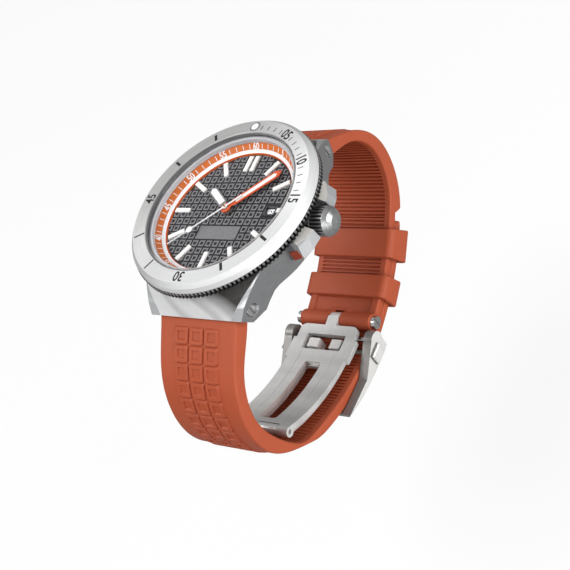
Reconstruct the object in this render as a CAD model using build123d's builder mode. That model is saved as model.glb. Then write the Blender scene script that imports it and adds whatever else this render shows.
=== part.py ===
"""Dive watch on a rubber strap with a folding clasp.

Millimetres.  +Z is the dial's normal, +Y points to twelve o'clock and +X to the crown.
The origin is the centre of the case back's outer face.
"""
from build123d import *
from math import asin, cos, degrees, hypot, pi, radians, sin, sqrt
import os

os.makedirs("parts", exist_ok=True)

# ---- driving dimensions -------------------------------------------------------------------------
BEZEL_R = 22.0              # over the coin edge
BEZEL_TOP = 13.3
BEZEL_BOTTOM = 9.75
BEZEL_BORE_R = 17.65
COIN_TEETH = 144
COIN_TOP = 11.2             # the coin edge ends here and the outer bevel begins
CASE_R = 19.3
CASE_BOTTOM = 1.2
HOOD_TOP = 9.3              # the hooded ends meet the bezel's underside here
HOOD_R = 20.9
TIP_X, TIP_Y = 12.0, 22.9   # outer corner of each lug's tip in plan
FLANK_X, FLANK_Y = 18.06, 6.8     # where the flat flanks leave the round body
LUG_END_Y = 23.0            # straight outer edge of each hood
LUG_END_Z = 4.3
LUG_BAR_Y = 19.85
LUG_BAR_Z = 4.0
SCREW_R = 1.25              # heads of the bar screws
SCREW_FACE, SCREW_THICK = 12.75, 0.9
STRAP_HALF = 10.2           # half width of the strap at the lugs
UPSTAND_TOP = 12.2          # the crystal is pressed into the upstand and its rim overhangs it
CRYSTAL_R, CRYSTAL_RIM_R = 16.6, 17.45
DIAL_R = 15.5
DIAL_BOTTOM = 8.8
DIAL_TOP = 9.2
MOVEMENT_R = 12.9
CROWN_Z = 6.3
CROWN_R = 3.05
RUN = 0.05                  # radial clearance of a running fit

# clasp and strap ends, laid out in the YZ plane round one centre
CLASP_CY, CLASP_CZ = -1.8, 11.3
TAIL_R = 53.2               # outer face of the lower strap and its tail
TAIL_THICK = 2.1
UPPER_OUT_R = TAIL_R - TAIL_THICK - 0.1
UPPER_THICK = 2.4
LOWER_THICK = 2.6
FOLD_Y, FOLD_Z = -30.1, -27.35     # the clasp's fold hinge
BAR_Y, BAR_Z = 4.0, -37.2          # screwed bar at the upper strap's end
PIVOT_Y, PIVOT_Z = -0.4, -37.68    # cover pivot
END_HALF = 9.8              # half width of the strap in the clasp
ARM_IN, ARM_OUT = 10.05, 12.3    # the cover's side arms
TAIL_END_Y = 29.2
BEND_TOP_Z = -24.6          # the lower strap flexes between here and BEND_END_Y
BEND_END_Y = -27.6


def face_at(radius, y):
    """Height in the YZ plane of the circle of this radius round the clasp's centre."""
    return CLASP_CZ - sqrt(radius**2 - (y - CLASP_CY) ** 2)


def yz(x):
    """The YZ plane at this x: sketch x is +Y and sketch y is +Z."""
    return Plane(origin=(x, 0, 0), x_dir=(0, 1, 0), z_dir=(1, 0, 0))


def save(name, part):
    part.label = name
    export_step(part, f"parts/{name}.step")


def ring(inner, outer, bottom, top):
    """A plain ring or disc about the dial axis, added to the part being built."""
    with BuildSketch(Plane.XY.offset(bottom)) as profile:
        Circle(outer)
        if inner:
            Circle(inner, mode=Mode.SUBTRACT)
    extrude(profile.sketch, amount=top - bottom)


def turned(points):
    """Revolve an (r, z) outline about the dial axis."""
    with BuildSketch(Plane.XZ) as profile:
        with BuildLine():
            Polyline(*points, close=True)
        make_face()
    revolve(profile.sketch, axis=Axis.Z)


def toothed(teeth, module, x, y, turn, bottom, top, bore=0.0, tooth=0.36):
    """A spur wheel with narrow straight-flanked teeth, tooth 0 pointing at angle turn."""
    pitch_r = teeth * module / 2
    tip, root = pitch_r + 0.75 * module, pitch_r - 1.15 * module
    pitch = 2 * pi / teeth
    outline = []
    for i in range(teeth):
        middle = radians(turn) + i * pitch
        for r, share in ((root, -0.62), (tip, -0.22), (tip, 0.22), (root, 0.62)):
            a = middle + share * tooth * pitch * 1.35
            outline.append((x + r * cos(a), y + r * sin(a)))
    with BuildSketch(Plane.XY.offset(bottom)) as profile:
        with BuildLine():
            Polyline(*outline, close=True)
        make_face()
        if bore:
            with Locations((x, y)):
                Circle(bore, mode=Mode.SUBTRACT)
    extrude(profile.sketch, amount=top - bottom)


def mesh_turn(turn, teeth, direction, other):
    """Angle of tooth 0 of a wheel that meshes with one at angle turn, seen along direction."""
    past = (direction - turn) / (360 / teeth)
    return direction + 180 + (past + 0.5) * 360 / other


def post(x, y, radius, bottom, top):
    with BuildSketch(Plane.XY.offset(bottom)) as profile:
        with Locations((x, y)):
            Circle(radius)
    extrude(profile.sketch, amount=top - bottom)


def rod(y, z, radius, x0, x1, mode=Mode.ADD):
    """A round bar along X through (y, z)."""
    with BuildSketch(yz(x0)) as profile:
        with Locations((y, z)):
            Circle(radius)
    extrude(profile.sketch, amount=x1 - x0, mode=mode)


def slab(points, x0, x1, mode=Mode.ADD):
    """An outline in the YZ plane, extruded from x0 to x1."""
    with BuildSketch(yz(x0)) as profile:
        with BuildLine():
            Polyline(*points, close=True)
        make_face()
    extrude(profile.sketch, amount=x1 - x0, mode=mode)


def clasp_point(radius, angle):
    """Point in the YZ plane at this radius and angle from straight down round the clasp's centre."""
    return CLASP_CY + radius * sin(radians(angle)), CLASP_CZ - radius * cos(radians(angle))


def clasp_angle(radius, y):
    return degrees(asin((y - CLASP_CY) / radius))


def sector(r_in, r_out, a0, a1, x0, x1, mode=Mode.ADD):
    """A curved plate round the clasp's centre, between two radii, two angles and two x values."""
    with BuildSketch(yz(x0)) as profile:
        with BuildLine():
            middle = (a0 + a1) / 2
            inner = ThreePointArc(*[clasp_point(r_in, a) for a in (a0, middle, a1)])
            outer = ThreePointArc(*[clasp_point(r_out, a) for a in (a0, middle, a1)])
            Line(inner @ 0, outer @ 0)
            Line(inner @ 1, outer @ 1)
        make_face()
    extrude(profile.sketch, amount=x1 - x0, mode=mode)


def tapered_sides(y0, y1, z0, z1):
    """Cut both edges of a strap so that it narrows from the lug width to END_HALF at y1."""
    for flank in (1, -1):
        with BuildSketch(Plane.XY.offset(z0)) as wedge:
            with BuildLine():
                Polyline((flank * STRAP_HALF, y0), (flank * END_HALF, y1), (flank * END_HALF, -y0),
                         (flank * 13, -y0), (flank * 13, y0), close=True)
            make_face()
        extrude(wedge.sketch, amount=z1 - z0, mode=Mode.SUBTRACT)


def plan_box(x0, x1, y0, y1, z0, z1, mode=Mode.ADD, corner=0.0):
    """A block between two corners, with upright edges rounded by corner."""
    with BuildSketch(Plane.XY.offset(z0)) as footprint:
        with Locations(((x0 + x1) / 2, (y0 + y1) / 2)):
            if corner:
                RectangleRounded(abs(x1 - x0), abs(y1 - y0), corner)
            else:
                Rectangle(abs(x1 - x0), abs(y1 - y0))
    extrude(footprint.sketch, amount=z1 - z0, mode=mode)


# ================================ case ===========================================================
# hooded ends: (height, y of the outline's middle, right half of the outline as (x, y)); the first corner
# is the hood's edge, the second is where its bevel meets the flat flank
HOOD_LEVELS = (
    (LUG_END_Z, LUG_END_Y, [(9.4, LUG_END_Y), (TIP_X, TIP_Y)]),
    (6.1, 22.24, [(10.9, 21.05), (12.74, 20.93)]),
    (7.4, 21.7, [(12.4, 19.18), (13.67, 18.45)]),
    (8.3, 21.32, [(14.0, 17.05), (14.52, 16.2)]),
    (HOOD_TOP, HOOD_R, [(15.3, 14.24), (15.65, 13.2)]),
)
# crown guards: (x, distance from the crown's plane) of the shoulder's outline at two heights
GUARD_TOP, GUARD_WIDEST, GUARD_FOOT = 8.05, 5.5, 3.9
GUARD_TOP_PLAN = [(14, 3.35), (22.25, 3.35), (21.85, 5.4), (20.75, 7.65), (14, 7.65)]
GUARD_WIDE_PLAN = [(14, 3.35), (22.65, 3.35), (22.25, 5.85), (20.95, 8.4), (14, 8.4)]

with BuildPart() as guards:
    for side in (1, -1):
        levels = []
        for height, outline in ((GUARD_WIDEST, GUARD_WIDE_PLAN), (GUARD_TOP, GUARD_TOP_PLAN)):
            with BuildSketch(Plane.XY.offset(height)) as level:
                with BuildLine():
                    Polyline(*[(x, side * y) for x, y in outline], close=True)
                make_face()
            levels.append(level.sketch)
        loft(ruled=True)
        extrude(levels[0], amount=GUARD_FOOT - GUARD_WIDEST)
        extrude(levels[1], amount=HOOD_TOP - GUARD_TOP)
    # sloping top from under the bezel, and an underside that falls back to the flank
    with BuildSketch(Plane.XZ.offset(-10)):
        with BuildLine():
            Polyline((20.2, HOOD_TOP + 0.05), (22.2, GUARD_TOP), (24, 6.9), (24, HOOD_TOP + 0.05), close=True)
        make_face()
        with BuildLine():
            Polyline((17.2, 4.65), (22.9, 5.6), (22.9, 2), (17.2, 2), close=True)
        make_face()
    extrude(amount=20, mode=Mode.SUBTRACT)

with BuildPart() as under_bevel:
    # what the bevel under the round body takes away; it arches down to the lugs
    turned([(17.6, 1.0), (17.7, 1.25), (20.4, 3.0), (24.0, 3.0), (24.0, 1.0)])
    for side in (1, -1):
        slab([(side * 14.2, 3.1), (side * 16.4, 2.2), (side * 18.0, 1.35), (side * 25.0, 0.5),
              (side * 25.0, 3.1)], -16, 16, Mode.SUBTRACT)

with BuildPart() as case_middle:
    with BuildSketch(Plane.XY.offset(CASE_BOTTOM)):
        Circle(CASE_R)
    extrude(amount=HOOD_TOP - CASE_BOTTOM)
    # hooded ends: ruled through the outlines, from a straight edge up to an arc under the bezel, with flat
    # flanks that run back to the round body
    for side in (1, -1):
        for height, middle_y, corners in HOOD_LEVELS:
            with BuildSketch(Plane.XY.offset(height)) as level:
                with BuildLine():
                    (hood_x, hood_y), *rest = [(x, side * y) for x, y in corners + [(FLANK_X, FLANK_Y)]]
                    if height == LUG_END_Z:
                        edge = Line((-hood_x, hood_y), (hood_x, hood_y))
                    else:
                        edge = ThreePointArc((-hood_x, hood_y), (0, side * middle_y), (hood_x, hood_y))
                    Polyline(edge @ 1, *rest, *[(-x, y) for x, y in reversed(rest)], edge @ 0)
                make_face()
            if height == LUG_END_Z:
                lug_plan = level.sketch
        loft(ruled=True)
        extrude(lug_plan, amount=-(LUG_END_Z - CASE_BOTTOM))
    add(under_bevel.part, mode=Mode.SUBTRACT)
    add(guards.part)
    # undersides of the lugs rise towards their tips, and the body narrows to the case back
    for side in (1, -1):
        slab([(side * 14.0, -1), (side * 14.0, 1.2), (side * 18.0, 1.43), (side * 21.3, 1.84),
              (side * 26.0, 8.85), (side * 26.0, -1)], -16, 16, Mode.SUBTRACT)
        # room for the strap's end between the lugs
        slab([(side * 30, -1), (side * 30, 3.6), (side * 22.8, 3.9), (side * 20.8, 6.0),
              (side * 18.2, 6.0), (side * 17.6, 4.6), (side * 18.2, 0.0)],
             -STRAP_HALF - 0.1, STRAP_HALF + 0.1, Mode.SUBTRACT)
        rod(side * LUG_BAR_Y, LUG_BAR_Z, 0.95, -15, 15, Mode.SUBTRACT)
        for flank in (1, -1):
            rod(side * LUG_BAR_Y, LUG_BAR_Z, SCREW_R + 0.1, flank * (SCREW_FACE - SCREW_THICK - 0.05),
                flank * 15, Mode.SUBTRACT)
    # upstand that carries the bezel and the crystal
    ring(16.2, 17.55, HOOD_TOP - 0.5, UPSTAND_TOP)
    # stepped cavity: case back thread, movement, dial seat, inner ring and crystal seat
    with BuildSketch(Plane.XZ):
        with BuildLine():
            Polyline((0, 0), (16.2, 0), (16.2, 2.6), (14.3, 2.6), (14.3, 8.75), (15.6, 8.75), (15.6, 9.25),
                     (17.0, 9.25), (17.0, 13.5), (0, 13.5), close=True)
        make_face()
    revolve(axis=Axis.Z, mode=Mode.SUBTRACT)
    # crown tube hole
    with BuildSketch(Plane.YZ.offset(12)):
        with Locations((0, CROWN_Z)):
            Circle(1.5)
    extrude(amount=12, mode=Mode.SUBTRACT)
    # flat pocket for the crown between the guards
    with BuildSketch(Plane.YZ.offset(19.9)):
        with Locations((0, CROWN_Z)):
            Circle(CROWN_R + 0.25)
    extrude(amount=4, mode=Mode.SUBTRACT)
save("case_middle", case_middle.part)

with BuildPart() as guard_inlay:
    # coloured plate on the leaning end facet of the lower guard
    facet = Plane(origin=(19.37, -8.19, 6.21), x_dir=(1, 0, 0), z_dir=(0, -0.959, 0.282))
    with BuildSketch(facet.offset(0.02)):
        with BuildLine():
            Polyline((-1.4, 0.57), (0.63, 1.16), (1.49, -0.53), (-0.71, -1.21), close=True)
        make_face()
    extrude(amount=0.12)
save("guard_inlay", guard_inlay.part)

with BuildPart() as case_back:
    turned([(0, 0), (16.9, 0), (17.4, 0.5), (17.4, 1.15), (16.15, 1.15), (16.15, 2.5), (15.3, 2.5),
            (15.3, 1.35), (0, 1.35)])
    with BuildSketch():
        with PolarLocations(16.0, 6):
            Rectangle(1.8, 2.6)
    extrude(amount=0.5, mode=Mode.SUBTRACT)
save("case_back", case_back.part)

with BuildPart() as case_back_gasket:
    ring(14.5, 15.2, 1.7, 2.5)
save("case_back_gasket", case_back_gasket.part)

with BuildPart() as crystal:
    turned([(0, 11.6), (CRYSTAL_R, 11.25), (CRYSTAL_R, UPSTAND_TOP + 0.08), (CRYSTAL_RIM_R, UPSTAND_TOP + 0.08),
            (CRYSTAL_RIM_R, 13.3), (CRYSTAL_RIM_R - 0.5, 13.75), (9, 14.25), (0, 14.35)])
save("crystal", crystal.part)

with BuildPart() as crystal_gasket:
    ring(CRYSTAL_R + 0.02, 16.98, 11.25, UPSTAND_TOP + 0.05)
save("crystal_gasket", crystal_gasket.part)

with BuildPart() as flange_ring:
    turned([(15.35, 9.75), (15.35, 9.27), (16.95, 9.27), (16.95, 11.2), (16.75, 11.2)])
save("flange_ring", flange_ring.part)

with BuildPart() as chapter_ring:
    turned([(14.85, 9.22), (15.32, 9.22), (15.32, 9.85), (14.95, 9.7)])
save("chapter_ring", chapter_ring.part)

# ================================ bezel ==========================================================
with BuildPart() as bezel:
    turned([(BEZEL_BORE_R, 11.5), (BEZEL_BORE_R, BEZEL_TOP - 0.15), (BEZEL_BORE_R + 0.15, BEZEL_TOP),
            (20.75, BEZEL_TOP), (21.6, 12.4), (21.8, COIN_TOP), (21.5, COIN_TOP), (21.5, BEZEL_BOTTOM),
            (18.6, BEZEL_BOTTOM), (18.6, 11.5)])
    outline = []
    for tooth in range(COIN_TEETH):
        for r, share in ((21.45, 0.0), (BEZEL_R, 0.3), (BEZEL_R, 0.7)):
            a = 2 * pi * (tooth + share) / COIN_TEETH
            outline.append((r * cos(a), r * sin(a)))
    with BuildSketch(Plane.XY.offset(COIN_TOP)):
        with BuildLine():
            Polyline(*outline, close=True)
        make_face()
        Circle(21.0, mode=Mode.SUBTRACT)
    extrude(amount=BEZEL_BOTTOM + 0.15 - COIN_TOP)
    # pocket for the luminous pip at twelve
    with BuildSketch(Plane.XY.offset(BEZEL_TOP - 0.5)):
        with Locations((0, 19.1)):
            Circle(1.25)
    extrude(amount=1, mode=Mode.SUBTRACT)
save("bezel", bezel.part)

with BuildPart() as bezel_pip:
    with BuildSketch(Plane.XY.offset(BEZEL_TOP - 0.5)):
        with Locations((0, 19.1)):
            Circle(1.23)
    extrude(amount=0.62)
    chamfer(bezel_pip.faces().sort_by(Axis.Z)[-1].edges(), 0.2)
save("bezel_pip", bezel_pip.part)

with BuildPart() as bezel_gasket:
    ring(17.57, 18.1, 9.35, 9.95)
save("bezel_gasket", bezel_gasket.part)

with BuildPart() as click_spring:
    # flat ring spring with three raised tongues, under the bezel
    ring(17.58, 18.5, 10.1, 10.3)
    with BuildSketch(Plane.XY.offset(10.3)):
        with PolarLocations(18.05, 3):
            Rectangle(0.7, 2.2)
    extrude(amount=0.5)
save("click_spring", click_spring.part)

# ================================ crown ==========================================================
with BuildPart() as crown_tube:
    with BuildSketch(Plane.YZ.offset(15.0)):
        with Locations((0, CROWN_Z)):
            Circle(1.48)
            Circle(0.85, mode=Mode.SUBTRACT)
    extrude(amount=7.2)
save("crown_tube", crown_tube.part)

CROWN_IN, CROWN_OUT = 20.1, 25.3
with BuildPart() as crown:
    with BuildSketch(Plane.XY.offset(CROWN_Z)):
        with BuildLine():
            Polyline((CROWN_IN, 1.6), (CROWN_IN, CROWN_R - 0.3), (CROWN_IN + 0.4, CROWN_R),
                     (CROWN_OUT - 1.5, CROWN_R), (CROWN_OUT - 0.7, CROWN_R - 0.6), (CROWN_OUT - 0.15, 1.5),
                     (CROWN_OUT, 0), (22.4, 0), (22.4, 1.6), close=True)
        make_face()
    revolve(axis=Axis(origin=(0, 0, CROWN_Z), direction=(1, 0, 0)))
    with BuildSketch(Plane.YZ.offset(CROWN_IN + 0.7)):
        with Locations((0, CROWN_Z)):
            with PolarLocations(CROWN_R + 0.12, 24, start_angle=4):
                Circle(0.32)
    extrude(amount=CROWN_OUT - 2.3 - CROWN_IN, mode=Mode.SUBTRACT)
save("crown", crown.part)

with BuildPart() as crown_gasket:
    with BuildSketch(Plane.YZ.offset(22.24)):
        with Locations((0, CROWN_Z)):
            Circle(1.45)
            Circle(0.75, mode=Mode.SUBTRACT)
    extrude(amount=0.14)
save("crown_gasket", crown_gasket.part)

with BuildPart() as winding_stem:
    with BuildSketch(Plane.YZ.offset(8.4)):
        with Locations((0, CROWN_Z)):
            Circle(0.55)
    extrude(amount=14.0)
    # winding pinion
    with BuildSketch(Plane.YZ.offset(9.2)):
        with Locations((0, CROWN_Z)):
            Circle(0.85)
            with PolarLocations(0.85, 12):
                Circle(0.12)
    extrude(amount=1.4)
save("winding_stem", winding_stem.part)

# ================================ movement =======================================================
THIRD_AT, BARREL_AT, ESCAPE_AT, MINUTE_AT = -30.0, 150.0, -110.0, 60.0
CENTRE_TEETH, THIRD_LEAVES, CENTRE_MODULE = 64, 8, 0.125
THIRD_TEETH, FOURTH_LEAVES = 60, 8
THIRD_D = (CENTRE_TEETH + THIRD_LEAVES) * CENTRE_MODULE / 2
THIRD_MODULE = 2 * THIRD_D / (THIRD_TEETH + FOURTH_LEAVES)
FOURTH_TEETH, ESCAPE_LEAVES, FOURTH_MODULE = 70, 7, 0.115
ESCAPE_D = (FOURTH_TEETH + ESCAPE_LEAVES) * FOURTH_MODULE / 2
BARREL_TEETH, CENTRE_LEAVES, BARREL_MODULE = 72, 12, 0.14
BARREL_D = (BARREL_TEETH + CENTRE_LEAVES) * BARREL_MODULE / 2
CANNON_LEAVES, MINUTE_TEETH, MINUTE_LEAVES, HOUR_TEETH, MOTION_MODULE = 10, 30, 8, 32, 0.16
MINUTE_D = (CANNON_LEAVES + MINUTE_TEETH) * MOTION_MODULE / 2


def polar(distance, angle, x=0.0, y=0.0):
    return x + distance * cos(radians(angle)), y + distance * sin(radians(angle))


third_xy = polar(THIRD_D, THIRD_AT)
barrel_xy = polar(BARREL_D, BARREL_AT)
escape_xy = polar(ESCAPE_D, ESCAPE_AT)
minute_xy = polar(MINUTE_D, MINUTE_AT)
pallet_xy = polar(2.95, -90, *escape_xy)
balance_xy = polar(4.2, 180, *pallet_xy)

with BuildPart() as movement_ring:
    ring(MOVEMENT_R + 0.1, 14.25, 2.8, 8.7)
    with BuildSketch(Plane.YZ.offset(MOVEMENT_R - 1)):
        with Locations((0, CROWN_Z)):
            Circle(1.1)
    extrude(amount=3, mode=Mode.SUBTRACT)
save("movement_ring", movement_ring.part)

with BuildPart() as main_plate:
    ring(0.77, MOVEMENT_R, 6.35, 7.7)
    post(*minute_xy, 0.2, 7.7, 8.55)
    # pillars that carry the bridges
    for angle in (20, 85, 205, 345):
        post(*polar(11.6, angle), 1.0, 3.7, 6.35)
    # recess for the keyless works at three o'clock
    with BuildSketch(Plane.XY.offset(6.0)):
        with Locations((11.0, 0)):
            Rectangle(6.0, 2.6)
    extrude(amount=1.35, mode=Mode.SUBTRACT)
    with BuildSketch(Plane.XY.offset(6.0)):
        for spot, radius in ((third_xy, 0.27), (escape_xy, 0.22), (pallet_xy, 0.22), (balance_xy, 0.27),
                             (barrel_xy, 0.66)):
            with Locations(spot):
                Circle(radius)
    extrude(amount=1.0, mode=Mode.SUBTRACT)
save("main_plate", main_plate.part)

with BuildPart() as train_bridge:
    with BuildSketch(Plane.XY.offset(3.0)):
        Circle(MOVEMENT_R)
        with Locations(polar(4.0, -130, *balance_xy)):
            Circle(7.6, mode=Mode.SUBTRACT)
        for spot, radius in (((0, 0), 0.27), (third_xy, 0.27), (escape_xy, 0.22), (pallet_xy, 0.22),
                             (barrel_xy, 0.66)):
            with Locations(spot):
                Circle(radius, mode=Mode.SUBTRACT)
    extrude(amount=0.62)
    # fixed stud that the winding weight turns on
    post(0, 0, 0.85, 1.6, 3.0)
    post(0, 0, 1.3, 1.5, 1.7)
save("train_bridge", train_bridge.part)

with BuildPart() as balance_cock:
    foot = polar(4.4, -60, *balance_xy)
    with BuildSketch(Plane.XY.offset(3.75)):
        with Locations(balance_xy, foot):
            Circle(0.8)
        with BuildLine():
            Polyline(polar(0.8, 30, *balance_xy), polar(0.8, 210, *balance_xy), polar(0.8, 210, *foot),
                     polar(0.8, 30, *foot), close=True)
        make_face()
        with Locations(balance_xy):
            Circle(0.27, mode=Mode.SUBTRACT)
    extrude(amount=0.5)
    post(*foot, 0.5, 4.0, 6.34)
save("balance_cock", balance_cock.part)

with BuildPart() as barrel:
    toothed(BARREL_TEETH, BARREL_MODULE, *barrel_xy, 0, 4.5, 4.8)
    post(*barrel_xy, 4.75, 4.8, 5.5)
    post(*barrel_xy, 0.6, 3.1, 6.9)
save("barrel", barrel.part)
centre_turn = mesh_turn(0, BARREL_TEETH, BARREL_AT + 180, CENTRE_LEAVES)

with BuildPart() as centre_wheel:
    toothed(CENTRE_LEAVES, BARREL_MODULE, 0, 0, centre_turn, 4.45, 5.5)
    toothed(CENTRE_TEETH, CENTRE_MODULE, 0, 0, 0, 5.68, 5.86)
    with BuildSketch(Plane.XY.offset(5.68)):
        with PolarLocations(2.2, 5):
            Circle(0.85)
    extrude(amount=0.18, mode=Mode.SUBTRACT)
    post(0, 0, 0.5, 4.45, 10.62)
    post(0, 0, 0.72, 6.0, 7.75)
    with BuildSketch(Plane.XY.offset(4.0)):
        Circle(0.28)
    extrude(amount=8, mode=Mode.SUBTRACT)
save("centre_wheel", centre_wheel.part)
third_pinion_turn = mesh_turn(0, CENTRE_TEETH, THIRD_AT, THIRD_LEAVES)

with BuildPart() as third_wheel:
    toothed(THIRD_LEAVES, CENTRE_MODULE, *third_xy, third_pinion_turn, 5.5, 6.1)
    toothed(THIRD_TEETH, THIRD_MODULE, *third_xy, 0, 4.1, 4.25)
    post(*third_xy, 0.22, 3.1, 6.9)
save("third_wheel", third_wheel.part)
fourth_pinion_turn = mesh_turn(0, THIRD_TEETH, THIRD_AT + 180, FOURTH_LEAVES)

with BuildPart() as fourth_wheel:
    toothed(FOURTH_LEAVES, THIRD_MODULE, 0, 0, fourth_pinion_turn, 4.0, 4.4)
    toothed(FOURTH_TEETH, FOURTH_MODULE, 0, 0, 0, 3.75, 3.9)
    post(0, 0, 0.22, 3.1, 11.3)
save("fourth_wheel", fourth_wheel.part)
escape_turn = mesh_turn(0, FOURTH_TEETH, ESCAPE_AT, ESCAPE_LEAVES)

ESCAPE_R = 2.2
with BuildPart() as escape_wheel:
    toothed(ESCAPE_LEAVES, FOURTH_MODULE, *escape_xy, escape_turn, 3.7, 4.0)
    with BuildSketch(Plane.XY.offset(4.5)):
        with BuildLine():
            hooked = []
            for tooth in range(15):
                start = tooth * 24
                hooked += [polar(1.75, start, *escape_xy), polar(ESCAPE_R, start + 14, *escape_xy),
                           polar(ESCAPE_R, start + 18, *escape_xy)]
            Polyline(*hooked, close=True)
        make_face()
    extrude(amount=0.14)
    post(*escape_xy, 0.17, 3.1, 6.9)
save("escape_wheel", escape_wheel.part)

with BuildPart() as pallet_fork:
    # anchor with two pallets beside the escape wheel, and the lever to the balance
    with BuildSketch(Plane.XY.offset(4.45)):
        with BuildLine():
            Polyline(polar(1.55, 20, *pallet_xy), polar(1.75, 32, *pallet_xy), polar(0.55, 80, *pallet_xy),
                     polar(0.55, 100, *pallet_xy), polar(1.75, 148, *pallet_xy), polar(1.55, 160, *pallet_xy),
                     polar(3.2, 177, *pallet_xy), polar(3.2, 183, *pallet_xy), polar(0.5, 230, *pallet_xy),
                     polar(0.5, 310, *pallet_xy), close=True)
        make_face()
    extrude(amount=0.2)
    post(*pallet_xy, 0.17, 3.1, 6.9)
save("pallet_fork", pallet_fork.part)

with BuildPart() as balance_wheel:
    with BuildSketch(Plane.XY.offset(5.3)):
        with Locations(balance_xy):
            Circle(3.5)
            Circle(3.0, mode=Mode.SUBTRACT)
            Rectangle(6.4, 0.5)
            Rectangle(0.5, 6.4)
            Circle(0.7)
    extrude(amount=0.4)
    post(*balance_xy, 0.22, 3.8, 6.9)
    post(*balance_xy, 0.5, 4.85, 5.0)
save("balance_wheel", balance_wheel.part)

with BuildPart() as hairspring:
    # flat spiral between the balance and its cock
    with BuildSketch(Plane.XY.offset(5.9)):
        for turn_no in range(4):
            with Locations(balance_xy):
                Circle(1.0 + 0.4 * turn_no)
                Circle(0.93 + 0.4 * turn_no, mode=Mode.SUBTRACT)
        with Locations(polar(1.6, 0, *balance_xy)):
            Rectangle(1.3, 0.1)
    extrude(amount=0.15)
save("hairspring", hairspring.part)

with BuildPart() as rotor:
    # half-disc winding weight on a central hub
    with BuildSketch(Plane.XY.offset(1.75)):
        Circle(12.6)
        with Locations((0, 6.3)):
            Rectangle(26, 12.6, mode=Mode.SUBTRACT)
        Circle(2.4)
        Circle(0.9, mode=Mode.SUBTRACT)
    extrude(amount=0.5)
    with BuildSketch(Plane.XY.offset(2.25)):
        Circle(12.6)
        Circle(10.6, mode=Mode.SUBTRACT)
        with Locations((0, 6.3)):
            Rectangle(26, 12.6, mode=Mode.SUBTRACT)
    extrude(amount=0.45)
save("rotor", rotor.part)

with BuildPart() as cannon_pinion:
    toothed(CANNON_LEAVES, MOTION_MODULE, 0, 0, 0, 7.8, 8.15, bore=0.51)
    ring(0.51, 0.62, 8.15, 10.6)
save("cannon_pinion", cannon_pinion.part)
minute_turn = mesh_turn(0, CANNON_LEAVES, MINUTE_AT, MINUTE_TEETH)

with BuildPart() as minute_wheel:
    toothed(MINUTE_TEETH, MOTION_MODULE, *minute_xy, minute_turn, 7.85, 8.05, bore=0.25)
    toothed(MINUTE_LEAVES, MOTION_MODULE, *minute_xy, 0, 8.05, 8.5, bore=0.25)
save("minute_wheel", minute_wheel.part)
hour_turn = mesh_turn(0, MINUTE_LEAVES, MINUTE_AT + 180, HOUR_TEETH)

with BuildPart() as hour_wheel:
    toothed(HOUR_TEETH, MOTION_MODULE, 0, 0, hour_turn, 8.25, 8.45, bore=0.67)
    ring(0.67, 0.9, 8.45, 10.05)
save("hour_wheel", hour_wheel.part)

with BuildPart() as date_ring:
    ring(9.3, 12.85, 8.25, 8.6)
    with BuildSketch(Plane.XY.offset(8.25)):
        with PolarLocations(9.3, 31):
            Rectangle(0.8, 0.7)
    extrude(amount=0.35, mode=Mode.SUBTRACT)
save("date_ring", date_ring.part)

# ================================ dial and hands =================================================
WINDOW_X = 10.9
with BuildPart() as dial:
    with BuildSketch(Plane.XY.offset(DIAL_BOTTOM)):
        Circle(DIAL_R)
        Circle(1.0, mode=Mode.SUBTRACT)
        with Locations((WINDOW_X, 0)):
            Rectangle(2.4, 1.7, mode=Mode.SUBTRACT)
    extrude(amount=DIAL_TOP - DIAL_BOTTOM)
save("dial", dial.part)

with BuildPart() as date_frame:
    with BuildSketch(Plane.XY.offset(DIAL_TOP)):
        with Locations((WINDOW_X, 0)):
            Rectangle(3.0, 2.3)
            Rectangle(2.4, 1.7, mode=Mode.SUBTRACT)
    extrude(amount=0.25)
save("date_frame", date_frame.part)

INDEX_IN, INDEX_OUT, INDEX_WIDE = 10.5, 14.5, 1.05
with BuildPart() as hour_markers:
    # applied batons, a pair at twelve and a short one beside the date
    with BuildSketch(Plane.XY.offset(DIAL_TOP)):
        for hour in range(1, 12):
            if hour == 3:
                continue
            with Locations(Location(polar((INDEX_IN + INDEX_OUT) / 2, 90 - 30 * hour), 90 - 30 * hour)):
                Rectangle(INDEX_OUT - INDEX_IN, INDEX_WIDE)
        with Locations((-0.85, 12.3), (0.85, 12.3)):
            Rectangle(INDEX_WIDE, INDEX_OUT - INDEX_IN)
        with Locations((13.55, 0)):
            Rectangle(1.7, INDEX_WIDE)
    extrude(amount=0.5)
    chamfer(hour_markers.faces().filter_by(Axis.Z).sort_by(Axis.Z)[-12:].edges(), 0.1)
save("hour_markers", hour_markers.part)

HOUR_ANGLE, MINUTE_ANGLE, SECOND_ANGLE = 142.2, 43.5, 223.2


def hand_plane(angle, height):
    """Sketch plane whose x axis runs along the hand."""
    return Plane(origin=(0, 0, height), x_dir=(cos(radians(angle)), sin(radians(angle)), 0), z_dir=(0, 0, 1))


with BuildPart() as hour_hand:
    with BuildSketch(hand_plane(HOUR_ANGLE, 9.8)):
        with BuildLine():
            Polyline((0, 0.6), (1.9, 0.7), (2.3, 1.0), (8.0, 1.02), (8.9, 0), (8.0, -1.02), (2.3, -1.0),
                     (1.9, -0.7), (0, -0.6), close=True)
        make_face()
        Circle(1.35)
        Circle(0.91, mode=Mode.SUBTRACT)
        with BuildLine(mode=Mode.PRIVATE) as lume_slot:
            Polyline((2.6, 0.7), (7.85, 0.72), (8.45, 0), (7.85, -0.72), (2.6, -0.7), close=True)
        make_face(lume_slot.edges(), mode=Mode.SUBTRACT)
    extrude(amount=0.22)
save("hour_hand", hour_hand.part)

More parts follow.
